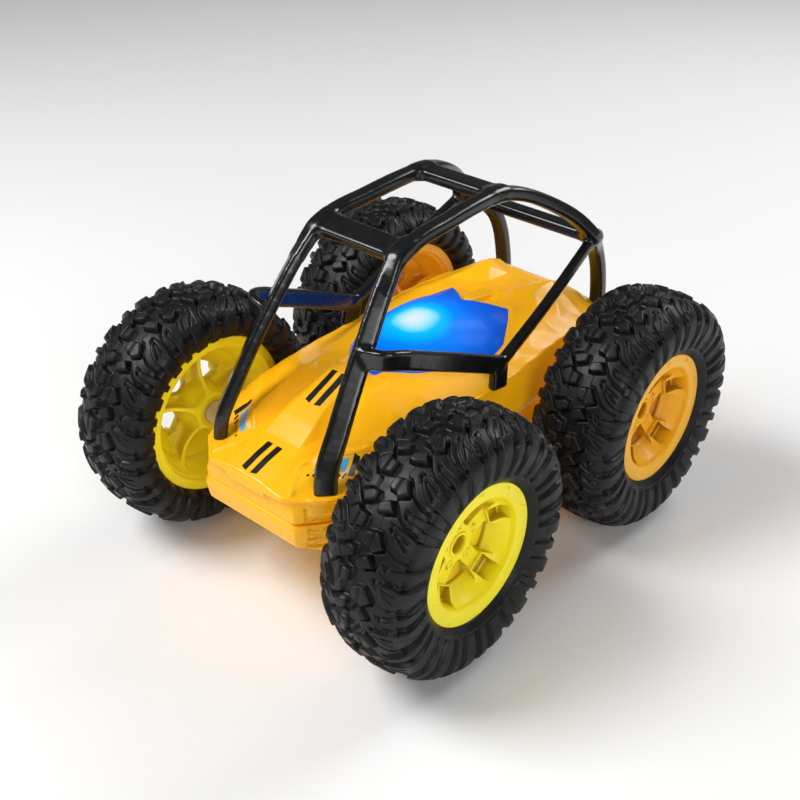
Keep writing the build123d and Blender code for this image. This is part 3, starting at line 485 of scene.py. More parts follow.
def make_hub_mesh():
    """Right-hand hub about its own axle, sampled as one moulded solid."""
    step = 0.36
    x = np.arange(57.6, 92.4, step)
    y = np.arange(-38.2, 38.2, step)
    across, up = np.meshgrid(y, y, indexing="ij")
    radius = np.hypot(across, up)
    angle = np.arctan2(across, up)
    fifth = 2 * np.pi / 5
    folded = (angle + fifth / 2) % fifth - fifth / 2
    u, w = (radius * np.cos(folded))[None], (radius * np.sin(folded))[None]
    depth = x[:, None, None]
    wall = [
        (90.9, 24.6), (90.9, 30.2), (88.1, 30.2), (88.1, 27.0), (81.0, 27.0), (71.0, 33.3), (61.3, 34.2), (61.3, 36.9),
        (58.8, 36.9), (58.8, 32.6), (60.2, 32.2), (61.2, 31.0), (67.0, 29.6), (73.0, 26.2), (77.4, 19.0), (79.0, 18.6),
        (80.8, 19.7), (88.0, 23.2), (90.2, 23.7),
    ]
    solid = lathe_field(wall, x, radius)
    trench = np.maximum(np.maximum(np.abs(w) - 3.9, 80.0 - depth), np.maximum(17.0 - u, u - 22.3))
    step_down = np.maximum(np.maximum(np.abs(w) - 3.9, 81.6 - depth), np.maximum(17.0 - u, u - 23.2))
    block = np.maximum(np.abs(w) - 7.6 + (22.5 - u) * 0.55, np.maximum(16.5 - u, u - 24.0))
    gusset = np.maximum(block, np.maximum(depth - 82.6 - (u - 17.0) * 0.62, 76.0 - depth))
    solid = smooth_min(solid, gusset, 0.5)
    solid = smooth_max(solid, -np.minimum(trench, step_down), 0.4)
    spoke = np.maximum(np.maximum(np.abs(w) - 3.7, np.abs(depth - 77.9) - 2.2), np.maximum(4.0 - u, u - 19.4))
    foot = np.maximum(np.maximum(np.abs(w) - 3.7, np.abs(depth - 77.2) - 1.6), np.maximum(15.0 - u, u - 24.0))
    solid = smooth_min(solid, smooth_min(spoke, foot, 0.4), 0.4)
    disc = np.maximum(radius[None] - 9.2 + 1.1 * np.cos(5 * folded)[None] * -1.0, np.abs(depth - 77.9) - 2.5)
    solid = smooth_min(solid, disc, 0.5)
    flare = 8.6 + 3.0 * smooth_step(depth, 66.0, 76.0) - 0.5 * smooth_step(64.0 - depth, 0.0, 3.0)
    boss = np.maximum(radius[None] - flare, np.maximum(62.0 - depth, depth - 77.0))
    solid = smooth_min(solid, boss, 2.4)
    edge = 65.0 + 4.5 * np.sin(np.pi * np.clip((u - 8.0) / 24.0, 0.0, 1.0))
    rib = np.maximum(np.maximum(np.abs(w) - 0.9, edge - depth), np.maximum(depth - 76.5, np.maximum(6.0 - u, u - 31.5)))
    solid = smooth_min(solid, rib, 3.2)
    cup = np.hypot(u - 8.6, w)
    dome = np.maximum(np.abs(cup - 1.55) - 0.45, depth - 81.3)
    solid = smooth_min(solid, np.maximum(dome, 79.0 - depth), 0.35)
    rim = np.maximum(np.abs(radius[None] - 4.7) - 0.6, np.maximum(depth - 81.2, 78.0 - depth))
    solid = smooth_min(solid, rim, 0.3)
    solid = smooth_max(solid, -np.maximum(radius[None] - 3.9, 77.0 - depth), 0.3)
    solid = smooth_max(solid, -np.maximum(radius[None] - 5.1, depth - 62.2), 0.3)
    solid = np.maximum(solid, -np.maximum(radius[None] - 2.5, depth - 75.2))
    tenth = fifth / 2
    bolt_angle = (angle + tenth / 2) % tenth - tenth / 2
    bolt = np.hypot(radius * np.cos(bolt_angle) - 27.3, radius * np.sin(bolt_angle))[None]
    solid = smooth_min(solid, np.maximum(bolt - 1.25, np.abs(depth - 90.9) - 0.5), 0.3)
    return surface_nets(solid, (x[0], y[0], y[0]), step)


def place_wheels():
    tyre_points, tyre_quads = make_tyre_mesh()
    hub_points, hub_quads = make_hub_mesh()
    tyre = make_piece_fast("tyre_shape", tyre_points, tyre_quads, RUBBER)
    hubs = {
        "front": make_piece_fast("front_hub_shape", hub_points, hub_quads, FRONT_HUB),
        "rear": make_piece_fast("rear_hub_shape", hub_points, hub_quads, REAR_HUB),
    }
    for end in ENDS:
        for side in SIDES:
            corner = f"{end}_{side}"
            sign = 1 if side == "right" else -1
            turn = Matrix.Rotation(0.0 if sign > 0 else np.pi, 4, "Z")
            hub_middle = centre(f"axle_{corner}") * MM
            tyre_middle = centre(f"tyre_{corner}") * MM
            for kind, source, middle in (("tyre", tyre, tyre_middle), ("hub", hubs[end], hub_middle * (0, 1, 1))):
                piece = bpy.data.objects.new(f"{kind}_look_{corner}", source.data)
                bpy.context.scene.collection.objects.link(piece)
                piece.matrix_world = Matrix.Translation(Vector(middle)) @ turn
                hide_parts(f"{kind}_{corner}")
                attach(piece, f"wheel_{corner}")
    for source in (tyre, *hubs.values()):
        bpy.data.objects.remove(source)


# ---------------------------------------------------------------- roll cage
RAIL_PATH = [
    (31.0, -86.3, 11.0), (30.6, -85.3, 19.0), (29.3, -76.5, 35.2), (26.6, -60.0, 60.5), (23.2, -40.5, 86.0),
    (22.5, -35.0, 91.5), (22.2, -27.0, 94.5), (21.6, -5.0, 96.8), (21.1, 18.0, 98.2), (21.1, 29.7, 98.0),
    (23.0, 42.0, 95.0), (27.5, 57.0, 87.5), (33.5, 70.5, 77.5), (38.0, 79.4, 67.0), (33.2, 86.5, 62.0),
    (29.8, 94.0, 54.5), (29.0, 98.8, 44.0), (28.8, 100.8, 35.0), (28.6, 101.9, 27.0), (28.5, 102.2, 18.0),
]
# Section of a rail by its y: the front legs are flat bars turned to face outwards
LEG_TURN = [(-46.0, -34.0), (45.0, 0.0)]
RAIL_WIDTH = [(-86.0, -70.0, -44.0, -32.0), (9.6, 9.0, 8.0, 7.0)]
RAIL_DEPTH = [(-86.0, -60.0, -44.0, -32.0), (5.9, 5.5, 5.3, 6.0)]
CROSSBARS = [
    ((22.3, -31.4, 92.7), (0.0, 0.92, 0.38), 11.0), ((21.1, 29.2, 97.9), (0.0, 1.0, 0.0), 10.5),
    ((38.0, 79.4, 67.0), (0.0, 1.0, 0.0), 8.3),
]
SIDE_BAR_PATH = [
    (28.4, -60.2, 60.4), (32.4, -59.9, 61.2), (36.2, -58.9, 61.7), (38.7, -56.6, 61.6), (39.9, -53.0, 60.8),
    (40.6, -42.0, 56.1), (41.5, -25.0, 48.6), (42.2, -9.0, 41.3), (42.8, 6.8, 34.0),
]
DIAGONAL_PATH = [(42.8, 6.8, 34.0), (41.5, 40.0, 49.0), (38.0, 79.4, 67.0)]
CLIP_PATH = [(42.8, 6.6, 33.0), (43.3, 5.8, 28.5), (43.7, 5.2, 24.6)]


def refine(path, pieces):
    """Smooth path through the points, with extra points between them."""
    path = np.asarray(path, float)
    along = np.concatenate([[0.0], np.cumsum(np.linalg.norm(np.diff(path, axis=0), axis=1))])
    spans = [np.linspace(a, b, pieces, endpoint=False) for a, b in zip(along, along[1:])]
    places = np.concatenate(spans + [[along[-1]]])
    return np.stack([curve_through(along, path[:, axis], places) for axis in range(3)], axis=1)


class Sculpture:
    """Distance field of a moulded solid, filled in piece by piece."""

    def __init__(self, low, high, step):
        self.step = step
        self.low = np.asarray(low, float)
        counts = np.ceil((np.asarray(high, float) - self.low) / step).astype(int) + 1
        self.axes = [self.low[a] + np.arange(counts[a]) * step for a in range(3)]
        self.field = np.full(tuple(counts), 6.0, np.float32)

    def window(self, low, high):
        """Slices and coordinates of the part of the grid inside a box."""
        start = [int(np.searchsorted(self.axes[a], low[a])) for a in range(3)]
        stop = [int(np.searchsorted(self.axes[a], high[a], side="right")) for a in range(3)]
        cut = tuple(slice(a, b) for a, b in zip(start, stop))
        x = self.axes[0][cut[0]][:, None, None]
        y = self.axes[1][cut[1]][None, :, None]
        z = self.axes[2][cut[2]][None, None, :]
        return cut, x, y, z

    def bar(self, path, reference, size, corner, fillet):
        """Adds a bar with a rounded rectangular section, which may change along the path."""
        count = len(path) - 1
        sizes = np.broadcast_to(np.asarray(size, float), (count, 2))
        sides = [None] * count if reference is None else np.broadcast_to(np.asarray(reference, float), (count, 3))
        reach = sizes.max() / 2 + 3.0
        whole, *_ = self.window(path.min(axis=0) - reach, path.max(axis=0) + reach)
        own = np.full(self.field.shape, 6.0, np.float32)
        for a, b, (width, depth), side in zip(path, path[1:], sizes, sides):
            half_w, half_d = width / 2 - corner, depth / 2 - corner
            cut, x, y, z = self.window(np.minimum(a, b) - reach, np.maximum(a, b) + reach)
            length = np.linalg.norm(b - a)
            along = (b - a) / length
            side = np.cross(along, (0, 0, 1)) if side is None else side
            side = side - along * side.dot(along)
            side /= np.linalg.norm(side)
            up = np.cross(along, side)
            dx, dy, dz = x - a[0], y - a[1], z - a[2]
            t = dx * along[0] + dy * along[1] + dz * along[2]
            p = np.abs(dx * side[0] + dy * side[1] + dz * side[2]) - half_w
            q = np.abs(dx * up[0] + dy * up[1] + dz * up[2]) - half_d
            ends = np.maximum(np.maximum(-t, t - length), 0.0)
            outside = np.sqrt(np.maximum(p, 0) ** 2 + np.maximum(q, 0) ** 2 + ends ** 2)
            own[cut] = np.minimum(own[cut], outside + np.minimum(np.maximum(p, q), 0.0) - corner)
        self.field[whole] = smooth_min(self.field[whole], own[whole], fillet)

    def piece(self, name, material):
        points, quads = surface_nets(self.field, self.low, self.step)
        return make_piece_fast(name, points + (0, 0, AXLE_Z), quads, material)


def make_cage():
    """The roll cage as one moulded solid with filleted joints."""
    low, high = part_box("roll_cage")
    low, high = np.array(low) / MM - 3.0, np.array(high) / MM + 3.0
    low[2], high[2] = low[2] - AXLE_Z, high[2] - AXLE_Z
    cage = Sculpture(low, high, 0.55)
    for sign in (1, -1):
        def side(path, pieces):
            return refine(path, pieces) * (sign, 1, 1)
        rail = side(RAIL_PATH, 5)
        place = (rail[1:, 1] + rail[:-1, 1]) / 2
        turn = np.radians(np.interp(place, *LEG_TURN))
        wide = np.stack([sign * np.cos(turn), np.sin(turn), 0 * turn], axis=1)
        section = np.stack([np.interp(place, *RAIL_WIDTH), np.interp(place, *RAIL_DEPTH)], axis=1)
        cage.bar(rail, wide, section, 1.9, 0.5)
        cage.bar(side(SIDE_BAR_PATH, 3), None, (3.8, 8.3), 1.2, 2.0)
        cage.bar(side(DIAGONAL_PATH, 3), (1, 0, 0), (4.4, 4.8), 1.5, 1.4)
        cage.bar(side(CLIP_PATH, 3), (1, 0, 0), (4.0, 9.5), 1.1, 0.8)
    for (x, y, z), direction, width in CROSSBARS:
        span = np.array([[t * x, y, z] for t in np.linspace(-1, 1, 7)])
        cage.bar(span, direction, (width, 5.2), 1.6, 3.4)
    x, y, z = np.meshgrid(*cage.axes, indexing="ij", sparse=True)
    cage.field = np.where(y < -75.0, np.maximum(cage.field, 11.8 - z), cage.field)
    piece = cage.piece("roll_cage_look", CAGE)
    relax(piece, 4)
    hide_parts("roll_cage")
    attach(piece, "chassis")


# ---------------------------------------------------------------- body shells
# Rows of the upper skin on the +X side, from nose to tail: y, then (x, height above the axle) outwards
SKIN_ROWS = [
    (-103.0, [(0, 13.0), (6, 13.0), (10.5, 12.9), (16, 12.7), (22, 11.7), (28, 10.2), (36, 8.8), (50, 6.6)]),
    (-98.5, [(0, 14.6), (6, 14.6), (10.5, 14.2), (16, 13.6), (23, 12.6), (28, 11.4), (36, 10.0), (50, 8.0)]),
    (-91.0, [(0, 17.4), (6.5, 17.3), (12, 16.6), (16.5, 15.2), (22, 14.4), (26, 11.8), (35.5, 11.2), (50, 9.0)]),
    (-84.0, [(0, 19.2), (8, 19.1), (12.5, 18.0), (16.5, 16.0), (22.5, 16.2), (28, 12.4), (38, 12.2), (50, 10.0)]),
    (-80.0, [(0, 20.2), (10.5, 20.1), (13, 19.0), (17, 16.8), (23.5, 18.2), (29.5, 14.0), (39, 14.0), (50, 12.0)]),
    (-70.6, [(0, 25.6), (9.0, 25.5), (12.5, 21.8), (15.5, 20.2), (23.0, 24.2), (31, 18.6), (40.5, 18.0), (50, 15.0)]),
    (-63.0, [(0, 29.0), (7.5, 28.9), (12.5, 25.0), (15.0, 23.6), (21.0, 28.4), (29.5, 24.6), (40.8, 20.0), (50, 17.0)]),
    (-54.0, [(0, 33.0), (7.0, 32.6), (11.0, 29.2), (13.5, 28.2), (19.5, 31.6), (31.0, 25.4), (41.2, 22.8), (50, 19.0)]),
    (-46.0, [(0, 36.7), (6.0, 36.0), (9.5, 32.8), (13.0, 31.6), (18.0, 34.0), (26.0, 30.2), (41.5, 23.2), (50, 20.0)]),
    (-38.0, [(0, 36.0), (6.0, 35.6), (10.0, 34.4), (14.5, 32.4), (19.5, 33.4), (30.0, 28.6), (41.8, 24.0), (50, 20.0)]),
    (-30.0, [(0, 31.0), (6.0, 31.0), (10.5, 34.1), (14.5, 33.2), (20.5, 32.4), (28.0, 30.2), (42.3, 24.0), (50, 20.0)]),
    (-18.0, [(0, 29.5), (12, 29.3), (20.6, 31.9), (23.5, 31.0), (27.0, 31.2), (36.0, 26.8), (42.8, 24.4), (50, 20.0)]),
    (-5.0, [(0, 28.0), (18, 27.5), (26.7, 30.0), (29.2, 29.3), (32.0, 29.4), (37.0, 26.8), (43.3, 24.2), (50, 20.0)]),
    (10.0, [(0, 27.0), (20, 26.8), (30.6, 29.1), (32.6, 28.4), (35.0, 28.9), (39.5, 26.2), (43.6, 24.8), (50, 20.0)]),
    (20.3, [(0, 27.0), (20, 26.6), (31.2, 28.9), (33.0, 28.6), (35.5, 29.0), (39.3, 27.4), (43.5, 24.8), (50, 20.0)]),
    (28.0, [(0, 29.0), (18, 27.5), (30.0, 30.0), (32.4, 29.4), (35.6, 30.4), (39.0, 28.0), (43.2, 26.2), (50, 20.0)]),
    (36.0, [(0, 30.5), (14, 30.0), (25.1, 32.1), (29.0, 31.0), (34.0, 31.8), (38.5, 29.4), (43.0, 26.3), (50, 20.0)]),
    (42.0, [(0, 32.0), (12, 31.5), (21.6, 33.8), (26.5, 33.0), (32.0, 33.0), (37.5, 29.4), (42.8, 27.0), (50, 20.0)]),
    (48.6, [(0, 36.3), (8, 36.2), (17.0, 36.1), (22.5, 35.0), (29.5, 33.8), (36.5, 30.4), (42.5, 26.8), (50, 20.0)]),
    (55.0, [(0, 37.4), (6, 38.2), (12, 36.4), (19.5, 35.6), (26.5, 34.6), (35.0, 30.0), (42.0, 27.2), (50, 20.0)]),
    (63.0, [(0, 35.6), (6.5, 36.4), (12.5, 38.2), (18.5, 38.8), (25.5, 35.4), (34.0, 31.2), (41.4, 26.8), (50, 20.0)]),
    (71.0, [(0, 35.0), (7, 35.4), (13, 38.8), (18.0, 39.6), (24.5, 36.6), (33.0, 30.6), (40.2, 27.0), (50, 20.0)]),
    (77.6, [(0, 34.0), (7, 34.8), (13, 37.4), (17.9, 39.5), (24.5, 36.2), (32.0, 30.6), (38.8, 26.4), (50, 20.0)]),
    (85.0, [(0, 33.4), (7, 33.6), (13, 34.2), (18.5, 36.4), (24.0, 33.0), (31.5, 28.4), (37.5, 25.0), (50, 19.0)]),
    (92.0, [(0, 30.8), (7, 30.9), (13, 31.2), (19.5, 31.0), (24.0, 30.2), (30.5, 25.4), (36.0, 22.6), (50, 17.0)]),
    (99.0, [(0, 26.8), (7, 26.6), (13, 26.2), (18.5, 25.8), (23.0, 25.0), (29.0, 22.4), (34.6, 20.6), (50, 16.0)]),
    (103.5, [(0, 23.4), (7, 23.2), (13, 22.9), (18.0, 22.6), (22.0, 22.2), (28.0, 20.8), (33.4, 19.8), (50, 15.0)]),
    (110.0, [(0, 16.6), (7, 16.4), (13, 16.2), (18.0, 16.0), (22.0, 16.0), (28.0, 16.0), (32.4, 16.0), (50, 13.0)]),
]
# Side walls: y, then (height, half width) upwards from the parting edge
UPPER_SIDES = [
    (-101.0, [(0, 23.5), (3, 24.5), (8, 22.4)]), (-99.5, [(0, 26.5), (4, 27.5), (11, 23.5)]),
    (-90.0, [(0, 34.0), (6, 35.5), (11.5, 34.5)]), (-80.0, [(0, 40.0), (7, 42.5), (14.5, 38.0)]),
    (-70.0, [(0, 42.5), (8, 45.0), (18.5, 40.5)]), (-58.0, [(0, 43.0), (9, 45.5), (22, 41.0)]),
    (-45.0, [(0, 43.0), (9, 45.5), (23.5, 41.5)]), (-18.0, [(0, 43.0), (9, 46.0), (24.5, 43.0)]),
    (0.0, [(0, 43.0), (9, 46.9), (24.5, 43.5)]), (20.0, [(0, 43.0), (9, 46.9), (25, 43.5)]),
    (36.0, [(0, 43.0), (9, 46.0), (26.5, 43.0)]), (62.0, [(0, 43.0), (9, 45.5), (27, 41.5)]),
    (78.0, [(0, 42.5), (9, 44.5), (27, 38.5)]), (92.0, [(0, 40.0), (8, 41.5), (23, 36.0)]),
    (107.0, [(0, 32.5), (7.5, 34.0), (19, 32.0)]),
]
LOWER_SIDES = [
    (-101.0, [(0, 23.5), (-3, 25.6), (-9.9, 24.0)]), (-90.0, [(0, 34.0), (-3, 36.0), (-14, 32.0)]),
    (-78.0, [(0, 40.5), (-3, 42.5), (-21, 36.0)]), (-60.0, [(0, 43.0), (-3, 45.0), (-21, 39.0)]),
    (60.0, [(0, 43.0), (-3, 45.0), (-21, 39.0)]), (80.0, [(0, 42.0), (-3, 43.5), (-21, 37.0)]),
    (107.0, [(0, 32.5), (-3, 34.0), (-10, 29.0)]),
]
BELLY_LINE = [(-101.0, -9.8), (-90.0, -14.0), (-78.0, -20.9), (80.0, -20.9), (107.0, -10.0)]
SHELL_WALL = 2.0
SHELL_STEP = 0.6
PARTING_GAP = 0.35
PAD_RIDGE = 0.8
LIP_DEPTH = 1.5
PAD_BORDER = [(22.7, -97.0), (15.9, -86.0), (15.6, -82.3), (18.6, -77.7), (24.5, -74.1), (33.0, -64.0)]


def skin_height(x, y):
    """Faceted height of the upper skin over a grid of |x| and y."""
    height = np.full((len(x), len(y)), -50.0)
    side = np.abs(x)
    for number, ((y0, near), (y1, far)) in enumerate(zip(SKIN_ROWS, SKIN_ROWS[1:])):
        for column in range(len(near) - 1):
            a, b = (*near[column], y0), (*near[column + 1], y0)
            c, d = (*far[column + 1], y1), (*far[column], y1)
            triangles = ((a, b, c), (a, c, d)) if (number + column) % 2 or column > 4 else ((a, b, d), (b, c, d))
            for p, q, r in triangles:
                area = (q[0] - p[0]) * (r[2] - p[2]) - (r[0] - p[0]) * (q[2] - p[2])
                rows = np.nonzero((y >= y0 - 0.01) & (y <= y1 + 0.01))[0]
                low, high = min(p[0], q[0], r[0]) - 0.01, max(p[0], q[0], r[0]) + 0.01
                columns = np.nonzero((side >= low) & (side <= high))[0]
                gx, gy = side[columns][:, None], y[rows][None, :]
                s = ((gx - p[0]) * (r[2] - p[2]) - (r[0] - p[0]) * (gy - p[2])) / area
                t = ((q[0] - p[0]) * (gy - p[2]) - (gx - p[0]) * (q[2] - p[2])) / area
                inside = (s >= -1e-3) & (t >= -1e-3) & (s + t <= 1.001)
                value = p[1] + s * (q[1] - p[1]) + t * (r[1] - p[1])
                patch = height[np.ix_(columns, rows)]
                height[np.ix_(columns, rows)] = np.where(inside, value, patch)
    return height


def side_reach(stations, y, z):
    """Half width of a shell over a grid of y and height."""
    table = []
    for _, line in stations:
        order = sorted(line)
        if order[-1][0] > 0:
            order.append((45.0, order[-1][1] - 0.42 * (45.0 - order[-1][0])))
        table.append(np.interp(z, [p[0] for p in order], [p[1] for p in order]))
    table = np.array(table)
    return np.stack([np.interp(y, [s[0] for s in stations], table[:, k]) for k in range(len(z))], axis=1)


def box_field(x, y, z, low, high, corner=0.0):
    """Distance to a box, with rounded corners."""
    parts = []
    for value, a, b in ((x, low[0], high[0]), (y, low[1], high[1]), (z, low[2], high[2])):
        parts.append(np.abs(value - (a + b) / 2) - (b - a) / 2 + corner)
    outside = np.sqrt(sum(np.maximum(part, 0) ** 2 for part in parts))
    inside = np.minimum(np.maximum(np.maximum(parts[0], parts[1]), parts[2]), 0.0)
    return outside + inside - corner


def grid(low, high, step):
    axes = [np.arange(a, b + step, step) for a, b in zip(low, high)]
    return axes, (axes[0][:, None, None], axes[1][None, :, None], axes[2][None, None, :])


def make_upper_shell():
    """Faceted upper shell with its lip notch, foot pads, ribs and wedge behind the canopy."""
    step = SHELL_STEP
    (xs, ys, zs), (x, y, z) = grid((-48.3, -103.5, -1.5), (48.3, 108.9, 42.0), step)
    side = np.abs(x)
    border = line_distance(PAD_BORDER, np.abs(xs)[:, None], ys[None, :])
    skin = skin_height(xs, ys) + PAD_RIDGE * smooth_step(1.2 - border, 0.0, 0.9)
    top = (z - skin[:, :, None]) / 1.12
    lip = 7.6 + 2.8 * smooth_step(side, 10.6, 11.8)
    wall = (side - side_reach(UPPER_SIDES, ys, zs)[None]) / 1.03
    wall = wall + LIP_DEPTH * np.where(z < lip, smooth_step(-y, 83.0, 86.0), 0.0)
    nose = (-np.where(z < lip, 99.3, 101.4 - (z - lip) * 0.1) - y) / 1.02
    tail = (y - np.interp(zs, [0, 8, 20, 45], [106.0, 106.9, 106.4, 96.0])[None, None, :]) / 1.02
    solid = smooth_max(smooth_max(np.maximum(top, wall), nose, 0.9), tail, 0.7)
    cavity = -(np.maximum(np.maximum(top, wall), np.maximum(nose, tail)) + SHELL_WALL)
    cavity = np.minimum(cavity, y + 97.0)
    solid = smooth_max(solid, -nose_panel(y, z, wall, 1.4, 8.0), 0.4)
    for sign in (1, -1):
        pad = box_field(x, y, z, (sign * 31 - 8.0, -94.0, 4.0), (sign * 31 + 6.6, -79.0, 12.0), 1.5)
        solid = smooth_min(solid, np.maximum(pad, wall), 1.2)
        seat = box_field(x, y, z, (sign * 28.5 - 6.0, 96.0, 14.0), (sign * 28.5 + 4.4, 107.0, 21.4), 1.5)
        solid = smooth_min(solid, np.maximum(seat, wall), 1.2)
    solid = np.maximum(solid, tail)
    wedge_top = z - (38.3 - 0.155 * (y - 33.8))
    wedge_side = (side - (y - 34.1) * 16.5 / 14.2) * 0.65
    wedge = np.maximum(np.maximum(wedge_top, wedge_side), np.maximum(28.0 - z, y - 49.0))
    solid = smooth_min(solid, wedge, 0.5)
    for place in (38.6, 41.6, 44.6, 47.6):
        groove = np.maximum(np.maximum(np.abs(y - place) - 0.75, side - 5.5), np.abs(wedge_top) - 1.1)
        solid = smooth_max(solid, -groove, 0.35)
    ridge_side = (side - 2.2 - (y - 36.0) * 0.12) * 0.9
    ridge = np.maximum(np.maximum(ridge_side, z - (39.2 - 0.10 * (y - 36.0))), np.maximum(37.5 - y, y - 56.0))
    solid = smooth_min(solid, np.maximum(ridge, 30.0 - z), 0.5)
    shell = np.maximum(solid, cavity)
    shell = smooth_max(shell, -bush_seats(side, y, z), 0.3)
    shell = np.maximum(shell, -z)
    gap = np.maximum(np.abs(z - 0.1) - PARTING_GAP, -wall - 0.8)
    shell = np.maximum(shell, -gap)
    points, quads = surface_nets(shell.astype(np.float32), (xs[0], ys[0], zs[0]), step)
    place_shell("upper_shell", points, quads)


def nose_panel(y, z, wall, low, high):
    """Shallow panel in the side of the nose, in front of the wheel."""
    return np.maximum(np.maximum(np.abs(y + 88.5) - 7.0, -wall - 1.0), np.maximum(low - z, z - high))


def bush_seats(side, y, z):
    """Field of the round seats for the four axle bushes."""
    seat = np.hypot(np.abs(y) - WHEEL_Y, z) - 4.6
    return np.maximum(seat, 39.0 - side)


def make_lower_shell():
    """Lower shell with the battery opening, switch slot, screw wells and ribbed nose panels."""
    step = SHELL_STEP
    (xs, ys, zs), (x, y, z) = grid((-47.1, -103.5, -22.2), (47.1, 108.9, 1.5), step)
    side = np.abs(x)
    floor = np.interp(ys, [p[0] for p in BELLY_LINE], [p[1] for p in BELLY_LINE])[None, :, None]
    under = (floor - z) / 1.1
    wall = (side - side_reach(LOWER_SIDES, ys, zs)[None]) / 1.03
    nose = (-np.interp(zs, [-10, -3, 0], [98.8, 99.9, 99.5])[None, None, :] - y) / 1.02
    tail = (y - np.interp(zs, [-12, -3, 0], [105.4, 106.9, 106.0])[None, None, :]) / 1.02
    solid = smooth_max(smooth_max(under, wall, 1.0), np.maximum(nose, tail), 0.8)
    cavity = -(np.maximum(np.maximum(under, wall), np.maximum(nose, tail)) + SHELL_WALL)
    solid = smooth_max(solid, -nose_panel(y, z, wall, -6.6, -1.2), 0.4)
    solid = smooth_max(solid, -nose_panel(y, z, wall, -11.0, -8.0), 0.4)
    for place in np.arange(-30.0, 31.0, 12.0):
        flute = np.maximum(np.abs(y - place) - 3.6, np.maximum(np.abs(z + 11.0) - 4.0, -wall - 0.8))
        solid = smooth_max(solid, -flute, 0.5)
    low, high = (np.array(corner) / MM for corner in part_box("battery_cover"))
    lid = box_field(x, y, z, (low[0] - 0.3, low[1] - 0.3, -24.0), (high[0] + 0.3, high[1] - 4.7, -18.6))
    ear = box_field(x, y, z, (-4.3, high[1] - 6.0, -24.0), (4.3, high[1] + 0.3, -18.6))
    shell = np.maximum(solid, cavity)
    shell = np.maximum(shell, -np.minimum(lid, ear))
    slot = box_field(x, y, z, (-2.8, 70.7, -24.0), (2.8, 78.3, -17.0))
    flange_room = box_field(x, y, z, (-5.1, 68.9, -19.0), (5.1, 80.6, -14.0))
    shell = np.maximum(np.maximum(shell, -slot), -flange_room)
    for sx, sy in ((15.0, -88.0), (12.0, -50.0), (17.0, 84.0)):
        post = np.maximum(np.hypot(side - sx, y - sy) - 4.6, under)
        shell = smooth_min(shell, np.maximum(post, z + 6.5), 0.5)
        shell = np.maximum(shell, -np.maximum(np.hypot(side - sx, y - sy) - 2.9, z + 8.6))
    shell = smooth_max(shell, -bush_seats(side, y, z), 0.3)
    shell = np.maximum(shell, z)
    gap = np.maximum(np.abs(z + 0.1) - PARTING_GAP, -wall - 0.8)
    shell = np.maximum(shell, -gap)
    points, quads = surface_nets(shell.astype(np.float32), (xs[0], ys[0], zs[0]), step)
    place_shell("lower_shell", points, quads)


def place_shell(node, points, quads):
    piece = make_piece_fast(f"{node}_look", points + (0, 0, AXLE_Z), quads, BODY)
    relax(piece, 2)
    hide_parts(node)
    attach(piece, "chassis")


# ---------------------------------------------------------------- canopy
CANOPY_OUTLINE = [
    (0.0, -35.2), (3.6, -34.9), (6.4, -33.2), (12.7, -26.3), (19.7, -17.7), (25.8, -5.0), (29.7, 10.0), (30.5, 18.0),
    (30.3, 22.0), (29.2, 27.0), (24.1, 36.0), (20.6, 42.0), (16.6, 47.4), (0.0, 33.4),
]
CANOPY_LEVELS = [
    (-35.2, 6.5, 34.6, 35.2), (-26.3, 12.9, 33.1, 38.6), (-17.7, 19.9, 31.5, 41.0), (-5.0, 26.0, 29.5, 43.0),
    (10.0, 29.9, 28.6, 43.4), (20.3, 30.7, 28.4, 42.6), (27.0, 29.5, 29.5, 41.4), (36.0, 24.6, 31.6, 39.8),
    (42.0, 21.2, 33.3, 38.9), (48.0, 16.8, 35.6, 38.0),
]


